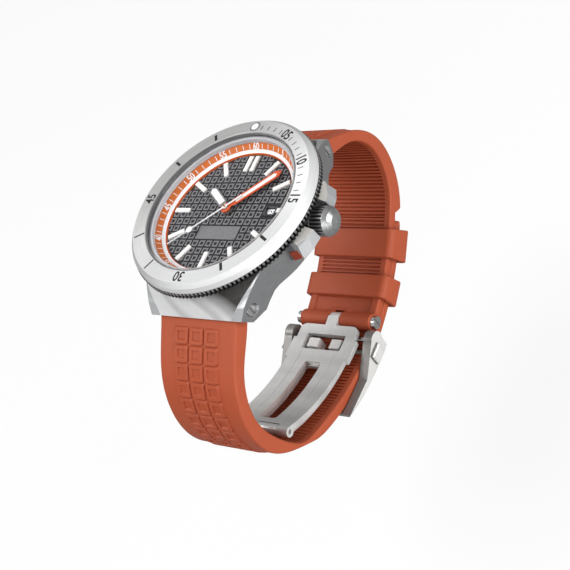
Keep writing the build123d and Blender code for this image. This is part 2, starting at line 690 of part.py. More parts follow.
with BuildPart() as hour_hand_lume:
    with BuildSketch(hand_plane(HOUR_ANGLE, 9.84)):
        with BuildLine():
            Polyline((2.62, 0.68), (7.84, 0.7), (8.41, 0), (7.84, -0.7), (2.62, -0.68), close=True)
        make_face()
    extrude(amount=0.17)
save("hour_hand_lume", hour_hand_lume.part)

with BuildPart() as minute_hand:
    with BuildSketch(hand_plane(MINUTE_ANGLE, 10.3)):
        with BuildLine():
            Polyline((0, 0.5), (1.6, 0.6), (2.2, 0.85), (12.6, 0.95), (13.7, 0), (12.6, -0.95), (2.2, -0.85),
                     (1.6, -0.6), (0, -0.5), close=True)
        make_face()
        Circle(1.15)
        Circle(0.63, mode=Mode.SUBTRACT)
        with BuildLine(mode=Mode.PRIVATE) as lume_slot:
            Polyline((2.5, 0.46), (12.1, 0.55), (12.6, 0), (12.1, -0.55), (2.5, -0.46), close=True)
        make_face(lume_slot.edges(), mode=Mode.SUBTRACT)
    extrude(amount=0.22)
save("minute_hand", minute_hand.part)

with BuildPart() as minute_hand_lume:
    with BuildSketch(hand_plane(MINUTE_ANGLE, 10.34)):
        with BuildLine():
            Polyline((2.52, 0.44), (12.09, 0.53), (12.56, 0), (12.09, -0.53), (2.52, -0.44), close=True)
        make_face()
    extrude(amount=0.17)
save("minute_hand_lume", minute_hand_lume.part)

with BuildPart() as seconds_hand:
    with BuildSketch(hand_plane(SECOND_ANGLE, 10.75)):
        with BuildLine():
            Polyline((-4.2, 0.2), (0, 0.16), (14.3, 0.09), (14.3, -0.09), (0, -0.16), (-4.2, -0.2), close=True)
        make_face()
        with Locations((8.8, 0)):
            Circle(0.75)
            Circle(0.5, mode=Mode.SUBTRACT)
        Circle(0.55)
        Circle(0.23, mode=Mode.SUBTRACT)
    extrude(amount=0.16)
save("seconds_hand", seconds_hand.part)

# ================================ strap ==========================================================
# side outlines between the lug and the clasp, as (distance from the crown's plane, height)
LOWER_OUTER = [(22.7, 3.7), (32.6, -4.0), (37.9, -14.5), (36.6, -24.4), (29.6, -33.0)]
LOWER_INNER = [(20.9, 0.4), (29.1, -4.9), (34.4, -13.5), (34.0, -22.0), (31.5, -29.2)]
UPPER_OUTER = [(22.7, 3.7), (32.0, -3.2), (37.6, -11.5), (37.6, -20.5)]
UPPER_INNER = [(20.9, 0.4), (29.1, -4.1), (34.7, -13.0), (32.3, -22.9)]
STEP_Y = 31.6               # the upper strap thins here to make room for the tail
ROOT_TOP = 5.9


def strap_body(side, outer, outer_end, inner, inner_end, last_y):
    """Extrude the side outline of a strap half.

    outer_end and inner_end give the radius and the y where each spline face runs into the arcs
    round the clasp's centre; last_y is where the half ends.
    """
    with BuildSketch(yz(-STRAP_HALF)) as profile:
        with BuildLine():
            ends = []
            for points, (radius, join_y, arc_r) in ((outer, outer_end), (inner, inner_end)):
                path = [(side * y, z) for y, z in points] + [(join_y, face_at(radius, join_y))]
                along = (-side * (CLASP_CZ - path[-1][1]), -side * (path[-1][0] - CLASP_CY))
                curve = Spline(*path, tangents=[(side * 0.8, -0.62), along])
                foot = curve @ 1
                if arc_r != radius:
                    step = (join_y - side * 1.6, face_at(arc_r, join_y - side * 1.6))
                    Line(foot, step)
                    foot = Vector(*step)
                middle = (foot.X + last_y) / 2
                arc = ThreePointArc(foot, (middle, face_at(arc_r, middle)), (last_y, face_at(arc_r, last_y)))
                ends.append((curve @ 0, arc @ 1))
            # the strap's root fills the room between the lugs
            Polyline(ends[0][0], (side * 20.7, ROOT_TOP), (side * 18.3, ROOT_TOP), (side * 17.75, 4.6),
                     (side * 18.3, 2.2), ends[1][0])
            Line(ends[0][1], ends[1][1])
        make_face()
    extrude(profile.sketch, amount=2 * STRAP_HALF)


with BuildPart() as strap_upper:
    strap_body(1, UPPER_OUTER, (TAIL_R, STEP_Y, UPPER_OUT_R), UPPER_INNER,
               (UPPER_OUT_R - UPPER_THICK, 27.0, UPPER_OUT_R - UPPER_THICK), BAR_Y)
    rod(BAR_Y, BAR_Z, 2.05, -STRAP_HALF, STRAP_HALF)
    rod(BAR_Y, BAR_Z, 0.95, -12, 12, Mode.SUBTRACT)
    rod(LUG_BAR_Y, LUG_BAR_Z, 0.95, -12, 12, Mode.SUBTRACT)
    # notch for the clasp's tongue
    plan_box(-1.6, 1.6, -1, BAR_Y + 2.4, -44, -32, Mode.SUBTRACT)
    tapered_sides(42, 8, -45, 2)
save("strap_upper", strap_upper.part)

with BuildPart() as lower_blank:
    strap_body(-1, LOWER_OUTER, (TAIL_R, -20.0, TAIL_R), LOWER_INNER,
               (TAIL_R - LOWER_THICK, -20.0, TAIL_R - LOWER_THICK), 1.0)
    rod(-LUG_BAR_Y, LUG_BAR_Z, 0.95, -12, 12, Mode.SUBTRACT)
    tapered_sides(-42, -8, -46, 2)

# the lower strap is one moulding; it is kept in three lengths so that it can bend at the fold
with BuildPart() as strap_lower:
    add(lower_blank.part)
    plan_box(-12, 12, -50, 2, -60, BEND_TOP_Z, Mode.SUBTRACT)
    plan_box(-12, 12, BEND_END_Y, 2, -60, -26, Mode.SUBTRACT)
save("strap_lower", strap_lower.part)

with BuildPart() as strap_bend:
    add(lower_blank.part)
    plan_box(-12, 12, -50, -10, BEND_TOP_Z - 0.02, 10, Mode.SUBTRACT)
    plan_box(-12, 12, BEND_END_Y - 0.02, 2, -60, -10, Mode.SUBTRACT)
save("strap_bend", strap_bend.part)

PEG_Y = -12.0
with BuildPart() as strap_end:
    add(lower_blank.part)
    plan_box(-12, 12, -50, BEND_END_Y, -60, 10, Mode.SUBTRACT)
    plan_box(-12, 12, -50, 2, -20, 10, Mode.SUBTRACT)
    tail_from = clasp_angle(TAIL_R, 0.9)
    tail_to = clasp_angle(TAIL_R, TAIL_END_Y)
    sector(TAIL_R - TAIL_THICK, TAIL_R, tail_from, tail_to, -END_HALF, END_HALF)
    with Locations((0, PEG_Y, -40)):
        Cylinder(1.05, 10, mode=Mode.SUBTRACT)
save("strap_end", strap_end.part)

for number, (a0, a1, r_out) in enumerate(((25.2, 33.2, 55.6), (13.8, 20.2, 54.9)), start=1):
    with BuildPart() as keeper:
        sector(47.5, r_out, a0, a1, -11.2, 11.2)
        sector(48.5, TAIL_R + 0.12, a0 - 3, a1 + 3, -10.12, 10.12, Mode.SUBTRACT)
    save(f"keeper_{number}", keeper.part)

# ---- bars and screws at the strap's ends
BAR_HALF = SCREW_FACE - SCREW_THICK - 0.15
with BuildPart() as lug_bars:
    for side in (1, -1):
        rod(side * LUG_BAR_Y, LUG_BAR_Z, 0.9, -BAR_HALF, BAR_HALF)
save("lug_bars", lug_bars.part)

with BuildPart() as lug_screws:
    for side in (1, -1):
        for flank in (1, -1):
            face = flank * SCREW_FACE
            rod(side * LUG_BAR_Y, LUG_BAR_Z, SCREW_R, face - flank * SCREW_THICK, face)
            plan_box(face - flank * 0.35, face + flank, side * LUG_BAR_Y - 0.18, side * LUG_BAR_Y + 0.18,
                     LUG_BAR_Z - 2, LUG_BAR_Z + 2, Mode.SUBTRACT)
save("lug_screws", lug_screws.part)

with BuildPart() as clasp_bar:
    rod(BAR_Y, BAR_Z, 0.9, -9.9, 9.9)
save("clasp_bar", clasp_bar.part)

with BuildPart() as clasp_bar_screws:
    for flank in (1, -1):
        rod(BAR_Y, BAR_Z, 1.5, flank * 9.92, flank * 10.9)
        plan_box(flank * 10.55, flank * 11.5, BAR_Y - 0.18, BAR_Y + 0.18, BAR_Z - 2, BAR_Z + 2, Mode.SUBTRACT)
save("clasp_bar_screws", clasp_bar_screws.part)

# ================================ clasp ==========================================================
A_IN, A_OUT = 46.7, 47.9            # inner blade, next to the wrist
B_IN, B_OUT = 48.1, 49.3            # middle blade, nested outside it
BLADE_HALF = 8.0
KNUCKLE_R, KNUCKLE_X = 1.2, 5.15
fold_angle = clasp_angle(47.97, FOLD_Y)
plate_end = clasp_angle(A_IN, 1.3)
bar_angle = clasp_angle(48.85, BAR_Y)

with BuildPart() as blade_inner:
    sector(A_IN, A_OUT, fold_angle, plate_end, -BLADE_HALF, BLADE_HALF)
    sector(A_IN, A_OUT, clasp_angle(A_IN, -8.0), clasp_angle(A_IN, -2.4), -8.8, 8.8)
    corners = [e for e in blade_inner.edges() if abs(e.center().Y - 1.35) < 0.3 and e.length < 1.4]
    fillet(corners, 1.6)
    # tongue with an eye round the bar
    sector(A_IN, A_OUT, plate_end - 2, bar_angle, -1.45, 1.45)
    rod(BAR_Y, BAR_Z, 1.75, -1.45, 1.45)
    rod(BAR_Y, BAR_Z, 0.95, -2, 2, Mode.SUBTRACT)
    # window for the latch tabs, and the long slot
    plan_box(-5.4, 5.4, -5.4, -1.2, -40, -30, Mode.SUBTRACT, corner=0.4)
    plan_box(-2.4, 2.4, -27.4, -9.0, -40, -20, Mode.SUBTRACT, corner=0.8)
    # fine line along each side of the slot
    for flank in (1, -1):
        sector(A_IN - 0.5, A_IN + 0.1, clasp_angle(A_IN, -28.0), clasp_angle(A_IN, -6.4), flank * 4.7, flank * 4.85,
               Mode.SUBTRACT)
    # outer knuckles of the fold hinge
    rod(FOLD_Y, FOLD_Z, KNUCKLE_R + 0.12, -KNUCKLE_X, KNUCKLE_X, Mode.SUBTRACT)
    for flank in (1, -1):
        rod(FOLD_Y, FOLD_Z, KNUCKLE_R, flank * (KNUCKLE_X + 0.05), flank * BLADE_HALF)
    rod(FOLD_Y, FOLD_Z, 0.56, -9, 9, Mode.SUBTRACT)
save("blade_inner", blade_inner.part)

with BuildPart() as blade_middle:
    sector(B_IN, B_OUT, fold_angle, clasp_angle(48.7, PIVOT_Y), -6.8, 6.8)
    rod(PIVOT_Y, PIVOT_Z, 1.0, -6.8, 6.8)
    # open end between the two pivot eyes, and the long slot
    plan_box(-5.5, 5.5, -6.2, 2, -42, -30, Mode.SUBTRACT)
    plan_box(-2.9, 2.9, -27.0, -9.4, -42, -20, Mode.SUBTRACT, corner=0.8)
    for flank in (1, -1):
        rod(FOLD_Y, FOLD_Z, KNUCKLE_R + 0.12, flank * (KNUCKLE_X - 0.05), flank * 9, Mode.SUBTRACT)
    rod(FOLD_Y, FOLD_Z, KNUCKLE_R, -KNUCKLE_X + 0.05, KNUCKLE_X - 0.05)
    rod(FOLD_Y, FOLD_Z, 0.6, -9, 9, Mode.SUBTRACT)
    rod(PIVOT_Y, PIVOT_Z, 0.55, -9, 9, Mode.SUBTRACT)
save("blade_middle", blade_middle.part)

with BuildPart() as fold_pin:
    rod(FOLD_Y, FOLD_Z, 0.55, -BLADE_HALF + 0.1, BLADE_HALF - 0.1)
save("fold_pin", fold_pin.part)

PIN_END = ARM_OUT - 1.2
with BuildPart() as cover_pin:
    rod(PIVOT_Y, PIVOT_Z, 0.54, -PIN_END, PIN_END)
save("cover_pin", cover_pin.part)

COVER_IN, COVER_OUT = TAIL_R + 0.12, 54.1
COVER_END_Y, COVER_TOP_Y = -19.0, 1.2
BUTTON_Y0, BUTTON_Y1, BUTTON_Z0, BUTTON_Z1 = -4.6, -0.9, -41.0, -37.7
POCKET_X = ARM_OUT - 0.9            # floor of the button's pocket
SPRING_X = POCKET_X - 0.95
STEM_Y, STEM_Z = -3.3, face_at(49.93, -3.3)

with BuildPart() as cover:
    sector(COVER_IN, COVER_OUT, clasp_angle(COVER_OUT, COVER_END_Y), clasp_angle(COVER_OUT, COVER_TOP_Y),
           -ARM_OUT, ARM_OUT)
    for flank in (1, -1):
        with BuildSketch(yz(flank * ARM_IN)) as arm_side:
            with BuildLine():
                low = ThreePointArc(*[(y, face_at(COVER_OUT, y)) for y in (COVER_END_Y, -9, COVER_TOP_Y)])
                Polyline(low @ 1, (COVER_TOP_Y + 0.3, PIVOT_Z), (PIVOT_Y, PIVOT_Z + 2.0),
                         (PIVOT_Y - 2.0, PIVOT_Z + 1.4), (-9.4, -39.9), (COVER_END_Y, face_at(53.3, COVER_END_Y)),
                         low @ 0)
            make_face()
        extrude(arm_side.sketch, amount=flank * (ARM_OUT - ARM_IN))
        rod(PIVOT_Y, PIVOT_Z, 2.2, flank * ARM_IN, flank * ARM_OUT)
    # bevel along the two long outer edges
    long_edges = [
        e for e in cover.edges()
        if abs(abs((e @ 0.5).X) - ARM_OUT) < 0.01 and e.length > 5
        and hypot((e @ 0.5).Y - CLASP_CY, (e @ 0.5).Z - CLASP_CZ) > COVER_OUT - 0.1
    ]
    chamfer(long_edges, 0.65, 0.9)
    for flank in (1, -1):
        rod(PIVOT_Y, PIVOT_Z, 0.6, flank * (ARM_IN - 1), flank * (PIN_END + 0.1), Mode.SUBTRACT)
        # pocket, spring bore and stem hole of the push button
        plan_box(flank * POCKET_X, flank * 15, BUTTON_Y0 - 0.1, BUTTON_Y1 + 0.1, BUTTON_Z0 - 0.1,
                 BUTTON_Z1 + 0.1, Mode.SUBTRACT)
        rod(STEM_Y, STEM_Z, 0.95, flank * SPRING_X, flank * ARM_OUT, Mode.SUBTRACT)
        rod(STEM_Y, STEM_Z, 0.53, flank * (ARM_IN - 1), flank * POCKET_X, Mode.SUBTRACT)
save("cover", cover.part)

with BuildPart() as strap_peg:
    with Locations((0, PEG_Y, -39.9)):
        Cylinder(1.0, 2.9)
    sector(COVER_IN - 2, COVER_IN - 0.01, -14, -6, -2, 2, Mode.INTERSECT)
save("strap_peg", strap_peg.part)

for name, flank in (("push_button_crown_side", 1), ("push_button_far_side", -1)):
    with BuildPart() as button:
        plan_box(flank * (POCKET_X + 0.85), flank * (ARM_OUT + 0.9), BUTTON_Y0, BUTTON_Y1, BUTTON_Z0, BUTTON_Z1)
        outer_face = button.faces().sort_by(Axis.X)[-1 if flank > 0 else 0]
        chamfer(outer_face.edges(), 0.3)
        rod(STEM_Y, STEM_Z, 0.48, flank * 4.2, flank * (POCKET_X + 1.0))
        # latch tab in the inner blade's window
        sector(47.2, 50.35, clasp_angle(49, -4.6), clasp_angle(49, -2.1), flank * 1.7, flank * 4.5)
    save(name, button.part)

with BuildPart() as button_springs:
    for flank in (1, -1):
        rod(STEM_Y, STEM_Z, 0.85, flank * (SPRING_X + 0.05), flank * (POCKET_X - 0.05))
        rod(STEM_Y, STEM_Z, 0.6, flank * SPRING_X, flank * POCKET_X, Mode.SUBTRACT)
save("button_springs", button_springs.part)
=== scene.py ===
"""Looks of the dive watch: rubber strap, printed dial and bezel marks, and the finish of every metal part.

Lengths below are millimetres unless a name says otherwise; MM turns them into Blender's metres.
+Z is the dial's normal, +Y points to twelve o'clock and +X to the crown.
"""
import bpy
import numpy as np
from math import atan2, cos, hypot, pi, radians, sin, sqrt
from mathutils import Matrix, Vector
from mathutils.bvhtree import BVHTree


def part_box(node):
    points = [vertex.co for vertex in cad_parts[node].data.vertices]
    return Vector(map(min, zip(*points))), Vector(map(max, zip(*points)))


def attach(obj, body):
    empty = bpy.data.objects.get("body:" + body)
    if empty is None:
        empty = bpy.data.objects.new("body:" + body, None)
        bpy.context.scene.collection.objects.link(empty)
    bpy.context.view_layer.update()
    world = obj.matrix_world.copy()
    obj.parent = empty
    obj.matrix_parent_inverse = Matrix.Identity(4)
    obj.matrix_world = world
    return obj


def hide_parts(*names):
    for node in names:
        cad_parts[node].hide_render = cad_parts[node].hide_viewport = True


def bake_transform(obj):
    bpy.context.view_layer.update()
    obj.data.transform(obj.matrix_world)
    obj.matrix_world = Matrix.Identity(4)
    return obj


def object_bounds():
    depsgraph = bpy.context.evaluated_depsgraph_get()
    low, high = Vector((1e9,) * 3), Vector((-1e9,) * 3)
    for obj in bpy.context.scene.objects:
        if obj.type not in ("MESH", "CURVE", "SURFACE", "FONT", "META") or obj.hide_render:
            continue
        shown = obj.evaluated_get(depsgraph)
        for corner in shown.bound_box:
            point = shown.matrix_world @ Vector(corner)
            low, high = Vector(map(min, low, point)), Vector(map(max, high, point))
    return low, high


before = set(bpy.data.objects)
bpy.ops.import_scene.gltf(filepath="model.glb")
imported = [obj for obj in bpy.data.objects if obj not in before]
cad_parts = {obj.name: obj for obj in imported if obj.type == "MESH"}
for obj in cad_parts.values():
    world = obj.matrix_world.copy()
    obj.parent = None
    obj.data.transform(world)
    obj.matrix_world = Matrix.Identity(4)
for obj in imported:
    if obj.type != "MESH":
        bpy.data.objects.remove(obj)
CAD_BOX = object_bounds()
MM = 0.001

# ---- driving places, in millimetres of the row frame ------------------------------------------
DIAL_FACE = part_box("dial")[1].z / MM
CAMERA_AT = (145.8, -102.9, 142.9)
CAMERA_AZIMUTH, CAMERA_ELEVATION, CAMERA_ROLL = 55.1, 41.7, -40.3
CAMERA_LENS = 68.8
LOOP_Y, LOOP_Z = 0.0, -14.0           # a point inside the strap's loop
CLASP_Y, CLASP_Z = -1.8, 11.3         # centre of the clasp's curvature
SECOND_ANGLE = 223.2                  # where the seconds hand points, anticlockwise from +X

# ---- where a finish changes on a part ---------------------------------------------------------
COIN_TOP = 11.2                       # upper end of the bezel's coin edge
COIN_BODY_R, TOOTH_R = 20.9, 21.8     # body of the coin edge, and its teeth
PIP_Y, PIP_R = 19.1, 0.82             # centre and radius of the bezel's luminous filling
RIM_R = 17.25                         # inner radius of the crystal's flat grey rim
FLANGE_WHITE_R = 15.7                 # outer radius of the white band at the flange's foot
CHAPTER_ORANGE_R = 15.02              # outer radius of the orange edge inside the white ring
HOOD_INNER_Y = 13.5                   # the hoods lie beyond this distance from the middle
HOOD_FOOT_Z, HOOD_RISE = 4.3, 5.0     # height of the hood's lower end, and from there to its top
HOOD_HALF = (9.4, 3.3, 2.7)           # half width at the foot, its linear growth and its square growth
BAND_LEAN = 1.1                       # sideways shift of the hood's painted reflection bands per height
CORNER_LEAN, CORNER_FROM, CORNER_SOFT = 1.3, 13.5, 6.0    # the hood's dark corner on the crown side, painted shade
CAVITY_R, CAVITY_Z = 17.6, 9.0        # within this radius and above this height the case is pale
GUARD_X = 19.4                        # the crown guards lie beyond this
CROWN_Z, CROWN_ROOT_R, CROWN_GRIP_END = 6.3, 2.85, 23.7
LATCH_HALF, LATCH_Z = 5.0, -41.5      # the buttons' latch tabs lie nearer the middle and higher than this
GRAIN_DEPTH = 0.02 * MM               # height of brush lines and mottling, in metres


def rgb(code):
    """Linear colour of an sRGB hex code."""
    parts = [int(code[i:i + 2], 16) / 255 for i in (1, 3, 5)]
    return tuple(p / 12.92 if p < 0.04045 else ((p + 0.055) / 1.055) ** 2.4 for p in parts) + (1.0,)


def shade(colour, factor):
    """A linear colour made brighter or darker by a factor."""
    return tuple(min(1.0, c * factor) for c in colour[:3]) + (1.0,)


# ======== shader helpers ========
class Shader:
    """A material whose nodes are added one call at a time."""

    def __init__(self, name):
        self.material = bpy.data.materials.new(name)
        self.material.use_nodes = True
        self.tree = self.material.node_tree
        self.tree.nodes.clear()
        self.out = self.tree.nodes.new("ShaderNodeOutputMaterial")
        self.coords = self.add("TexCoord")

    def add(self, kind, inputs=None, **settings):
        made = self.tree.nodes.new("ShaderNode" + kind)
        for key, value in settings.items():
            setattr(made, key, value)
        for key, value in (inputs or {}).items():
            if isinstance(value, bpy.types.NodeSocket):
                self.tree.links.new(value, made.inputs[key])
            else:
                made.inputs[key].default_value = value
        return made

    def math(self, operation, a, b=0.0, clamp=False):
        return self.add("Math", {0: a, 1: b}, operation=operation, use_clamp=clamp).outputs[0]

    def plus(self, a, b):
        return self.math("ADD", a, b)

    def minus(self, a, b):
        return self.math("SUBTRACT", a, b)

    def times(self, a, b):
        return self.math("MULTIPLY", a, b)

    def under(self, value, edge):
        """1 where the value is below the edge, which is millimetres or another socket in metres."""
        if not isinstance(edge, bpy.types.NodeSocket):
            edge = edge * MM
        return self.math("LESS_THAN", value, edge)

    def distance(self, a, b):
        """Length of the vector (a, b)."""
        return self.math("SQRT", self.plus(self.times(a, a), self.times(b, b)))

    def position(self):
        """Object-space x, y, z sockets, which are metres of the row frame at rest."""
        split = self.add("SeparateXYZ", {0: self.coords.outputs["Object"]})
        return split.outputs[0], split.outputs[1], split.outputs[2]

    def normal(self):
        split = self.add("SeparateXYZ", {0: self.coords.outputs["Normal"]})
        return split.outputs[0], split.outputs[1], split.outputs[2]

    def polar(self):
        """Vector of (angle, radius, height) about the dial axis, for turned finishes, and its radius."""
        x, y, z = self.position()
        radius = self.distance(x, y)
        return self.add("CombineXYZ", {0: self.math("ARCTAN2", y, x), 1: radius, 2: z}).outputs[0], radius

    def noise(self, scale, detail=3.0, vector=None, rough=0.55):
        """Noise of one scale per metre, or of one for each axis, drawn out along the smallest."""
        scales = scale if isinstance(scale, tuple) else (scale, scale, scale)
        mapping = self.add("Mapping", {"Vector": vector or self.coords.outputs["Object"], "Scale": scales})
        return self.add("TexNoise", {"Vector": mapping.outputs[0], "Scale": 1.0, "Detail": detail,
                                     "Roughness": rough}).outputs[0]

    def brush(self, scales, vector=None):
        """Fine parallel lines along the axis with the smallest scale."""
        return self.noise(scales, detail=4.0, vector=vector, rough=0.7)

    def mix(self, factor, a, b):
        return self.add("Mix", {0: factor, 6: a, 7: b}, data_type="RGBA").outputs[2]

    def tint(self, factor, low, high):
        """Blend of two hex colours."""
        return self.mix(factor, rgb(low), rgb(high))

    def step(self, value, edge, soft):
        """0 below edge, 1 above edge + soft, in the value's units."""
        return self.math("DIVIDE", self.minus(value, edge), soft, clamp=True)

    def step_mm(self, value, edge, soft):
        """The same, with the edge and its softness in millimetres."""
        return self.step(value, edge * MM, soft * MM)

    def varied(self, middle, value, amount):
        """middle + value * amount, for a roughness that follows a texture."""
        return self.plus(middle, self.times(value, amount))

    def bump(self, height, strength, distance, normal=None):
        inputs = {"Height": height, "Strength": strength, "Distance": distance}
        if normal is not None:
            inputs["Normal"] = normal
        return self.add("Bump", inputs).outputs[0]

    def rounded(self, radius):
        """Normal that rounds every sharp edge by a radius in millimetres."""
        return self.add("Bevel", {"Radius": radius * MM}, samples=4).outputs[0]

    def show(self, shader_node):
        """Connect the last shader node to the output."""
        self.tree.links.new(shader_node.outputs[0], self.out.inputs[0])
        return self.material

    def surface(self, **inputs):
        named = {key.replace("_", " "): value for key, value in inputs.items()}
        return self.show(self.add("BsdfPrincipled", named))


# ======== materials ========
def brushed(name, colour, grain, rough, contrast=0.25, broad=None, turned=False, metallic=1.0):
    """Metal with fine parallel brush lines; grain is the noise scale along x, y, z per metre."""
    s = Shader(name)
    vector = s.polar()[0] if turned else None
    lines = s.brush(grain, vector)
    base = s.mix(s.step(lines, 0.3, 0.4), shade(colour, 1 - contrast), colour)
    if broad:
        patches = s.noise(broad, detail=1.0, vector=vector)
        base = s.mix(s.step(patches, 0.3, 0.3), shade(colour, 0.72), base)
    return s.surface(Base_Color=base, Metallic=metallic,
                     Roughness=s.varied(rough, s.minus(lines, 0.5), 0.12),
                     Normal=s.bump(lines, 0.12, GRAIN_DEPTH, s.rounded(0.08)))


def polished(name, colour, rough=0.12):
    """Bright metal with faint wear."""
    s = Shader(name)
    wear = s.noise(900, detail=5.0)
    base = s.mix(s.step(wear, 0.35, 0.3), shade(colour, 0.82), colour)
    return s.surface(Base_Color=base, Metallic=1.0, Roughness=s.varied(rough, wear, 0.08),
                     Normal=s.rounded(0.08))


def matt(name, colour, rough, mottle=0.12, scale=1500, glow=0.0):
    """Paint, print or moulded plastic with fine mottling; glow gives it a painted light of its own."""
    s = Shader(name)
    grain = s.noise(scale, detail=4.0)
    base = s.mix(grain, shade(colour, 1 - mottle), shade(colour, 1 + mottle))
    return s.surface(Base_Color=base, Metallic=0.0, Roughness=s.varied(rough - 0.05, grain, 0.1),
                     Normal=s.bump(grain, 0.1, GRAIN_DEPTH, s.rounded(0.05)),
                     Emission_Color=base, Emission_Strength=glow)


def cover_steel():
    """Clasp cover and push buttons: pale brushed sides and latch tabs painted as lit, darker faces toward
    the wrist painted as shade.
    """
    s = Shader("steel_cover_brushed")
    x, y, z = s.position()
    outward = s.times(s.normal()[0], s.math("SIGN", x))
    lines = s.brush((400, 7000, 400))
    # painted light and shade: lit and shaded copies of the steel, picked by which way a face turns
    side = s.tint(lines, "#d2d1ce", "#f0efed")
    inward = s.tint(s.brush((7000, 300, 300)), "#6f6d6b", "#989694")
    latch = s.times(s.under(s.math("ABSOLUTE", x), LATCH_HALF), s.step_mm(z, LATCH_Z, 0.5))
    base = s.mix(s.math("MAXIMUM", s.step(outward, 0.5, 0.2), latch), inward, side)
    return s.surface(Base_Color=base, Metallic=0.4, Roughness=s.varied(0.32, lines, 0.1),
                     Normal=s.rounded(0.15))


def rubber():
    """Satin fluoro-rubber: dense, slightly mottled, with a low sheen."""
    s = Shader("rubber_orange_moulded")
    fine = s.noise(9000, detail=2.0)
    base = s.tint(s.noise(120, detail=2.0), "#9c4629", "#a64d30")
    # painted shade: hollows and inner corners are painted a deeper red where the rubber closes round them
    shade_openness = s.add("AmbientOcclusion", {"Distance": 6 * MM}, samples=4, only_local=True).outputs["AO"]
    base = s.mix(s.step(shade_openness, 0.2, 0.35), rgb("#8c2f16"), base)
    return s.surface(Base_Color=base, Roughness=s.varied(0.5, fine, 0.12),
                     Normal=s.bump(fine, 0.06, GRAIN_DEPTH / 2), Specular_IOR_Level=0.3)


def bezel_steel():
    """Circular-brushed top with painted light across it, smooth chamfer and a coin edge painted dark as
    shade.
    """
    s = Shader("bezel_brushed")
    vector, radius = s.polar()
    lines = s.brush((3, 22000, 9000), vector)
    x, y, height = s.position()
    # painted light: the turned top is painted darker towards ten o'clock and lighter towards four
    lit = s.step_mm(s.minus(s.times(x, 0.85), s.times(y, 0.5)), -12, 22)
    top = s.mix(s.step(lines, 0.3, 0.4), s.tint(lit, "#b0b0af", "#e6e7e8"),
                s.tint(lit, "#d2d2d1", "#ffffff"))
    # painted shade and highlight: near black between the teeth, the teeth grey rising to light at their
    # upper ends
    coin = s.times(s.under(height, COIN_TOP + 0.02), s.step_mm(radius, COIN_BODY_R, 0.1))
    tooth_painted_highlight = s.tint(s.step_mm(height, COIN_TOP - 0.7, 0.4), "#2a2a2a", "#8a8a8a")
    base = s.mix(coin, top, s.mix(s.step_mm(radius, TOOTH_R, 0.15), rgb("#0c0c0c"), tooth_painted_highlight))
    flat = s.step(s.normal()[2], 0.9, 0.05)
    tangent = s.add("Tangent", direction_type="RADIAL", axis="Z").outputs[0]
    return s.surface(Base_Color=base, Metallic=0.6, Roughness=s.varied(0.3, flat, 0.04),
                     Normal=s.bump(s.times(lines, flat), 0.1, GRAIN_DEPTH),
                     Anisotropic=s.times(flat, 0.75), Tangent=tangent)


def case_steel():
    """Hoods brushed down their slope with painted reflection bands, a bevel beside them painted paler as a
    highlight, brushed flanks painted mid-grey as reflected shade, guards painted paler on top as lit.
    """
    s = Shader("case_brushed")
    x, y, z = s.position()
    nz = s.normal()[2]
    down = s.brush((5200, 260, 260))
    level = s.brush((500, 500, 9000))
    # painted reflection: soft light and dark bands lean across the hood
    lean = s.add("CombineXYZ", {0: s.plus(x, s.times(z, BAND_LEAN)), 1: 0.0, 2: 0.0}).outputs[0]
    painted_reflection_bands = s.step(s.noise((210, 1, 1), detail=0.5, vector=lean), 0.3, 0.22)
    hood = s.mix(painted_reflection_bands, s.tint(down, "#a4a5a6", "#bebfc0"), s.tint(down, "#dcddde", "#fafafa"))
    # painted shade: the hood is painted dark in its upper corner on the crown side
    corner = s.step_mm(s.plus(x, s.times(z, CORNER_LEAN)), CORNER_FROM, CORNER_SOFT)
    hood = s.mix(corner, hood, s.tint(down, "#2e2c2a", "#4a4846"))
    # the hood's edge runs out along a curve from the lug's end to the bezel
    height = s.step_mm(z, HOOD_FOOT_Z, HOOD_RISE)
    foot_half, linear, square = HOOD_HALF
    spread = s.plus(s.times(height, linear * MM), s.times(s.times(height, height), square * MM))
    on_hood = s.under(s.math("ABSOLUTE", x), s.plus(foot_half * MM, spread))
    # painted highlight: beside the hood the bevel is painted paler than the flank
    hood_end = s.mix(on_hood, s.tint(level, "#9b9d9e", "#bfc1c2"), hood)
    hood_face = s.times(s.step_mm(s.math("ABSOLUTE", y), HOOD_INNER_Y, 0.5), s.step(nz, 0.08, 0.05))
    # painted shade: the flanks are painted mid-grey as the shade they reflect
    base = s.mix(hood_face, s.tint(s.step(level, 0.3, 0.4), "#868788", "#9b9c9d"), hood_end)
    cavity = s.times(s.under(s.polar()[1], CAVITY_R), s.step_mm(z, CAVITY_Z, 0.1))
    base = s.mix(cavity, base, rgb("#d9d9da"))
    # painted light: the guards' tops are painted lighter than their sides as lit
    guard = s.step_mm(x, GUARD_X, 0.1)
    guard_shaded_side, guard_lit_top = s.tint(level, "#a8aaac", "#b8babb"), s.tint(level, "#c2bfba", "#d6d2cc")
    base = s.mix(guard, base, s.mix(s.step(nz, 0.3, 0.1), guard_shaded_side, guard_lit_top))
    lines = s.add("Mix", {0: hood_face, 2: level, 3: down}, data_type="FLOAT").outputs[0]
    # guards and hoods reflect less, so that their painted light and shade carry the look
    softer = s.plus(s.times(guard, 0.35), s.times(hood_face, 0.45))
    return s.surface(Base_Color=base, Metallic=s.math("SUBTRACT", 0.85, softer, clamp=True),
                     Roughness=s.varied(0.34, s.minus(lines, 0.5), 0.16),
                     Normal=s.bump(lines, 0.12, GRAIN_DEPTH, s.rounded(0.1)))


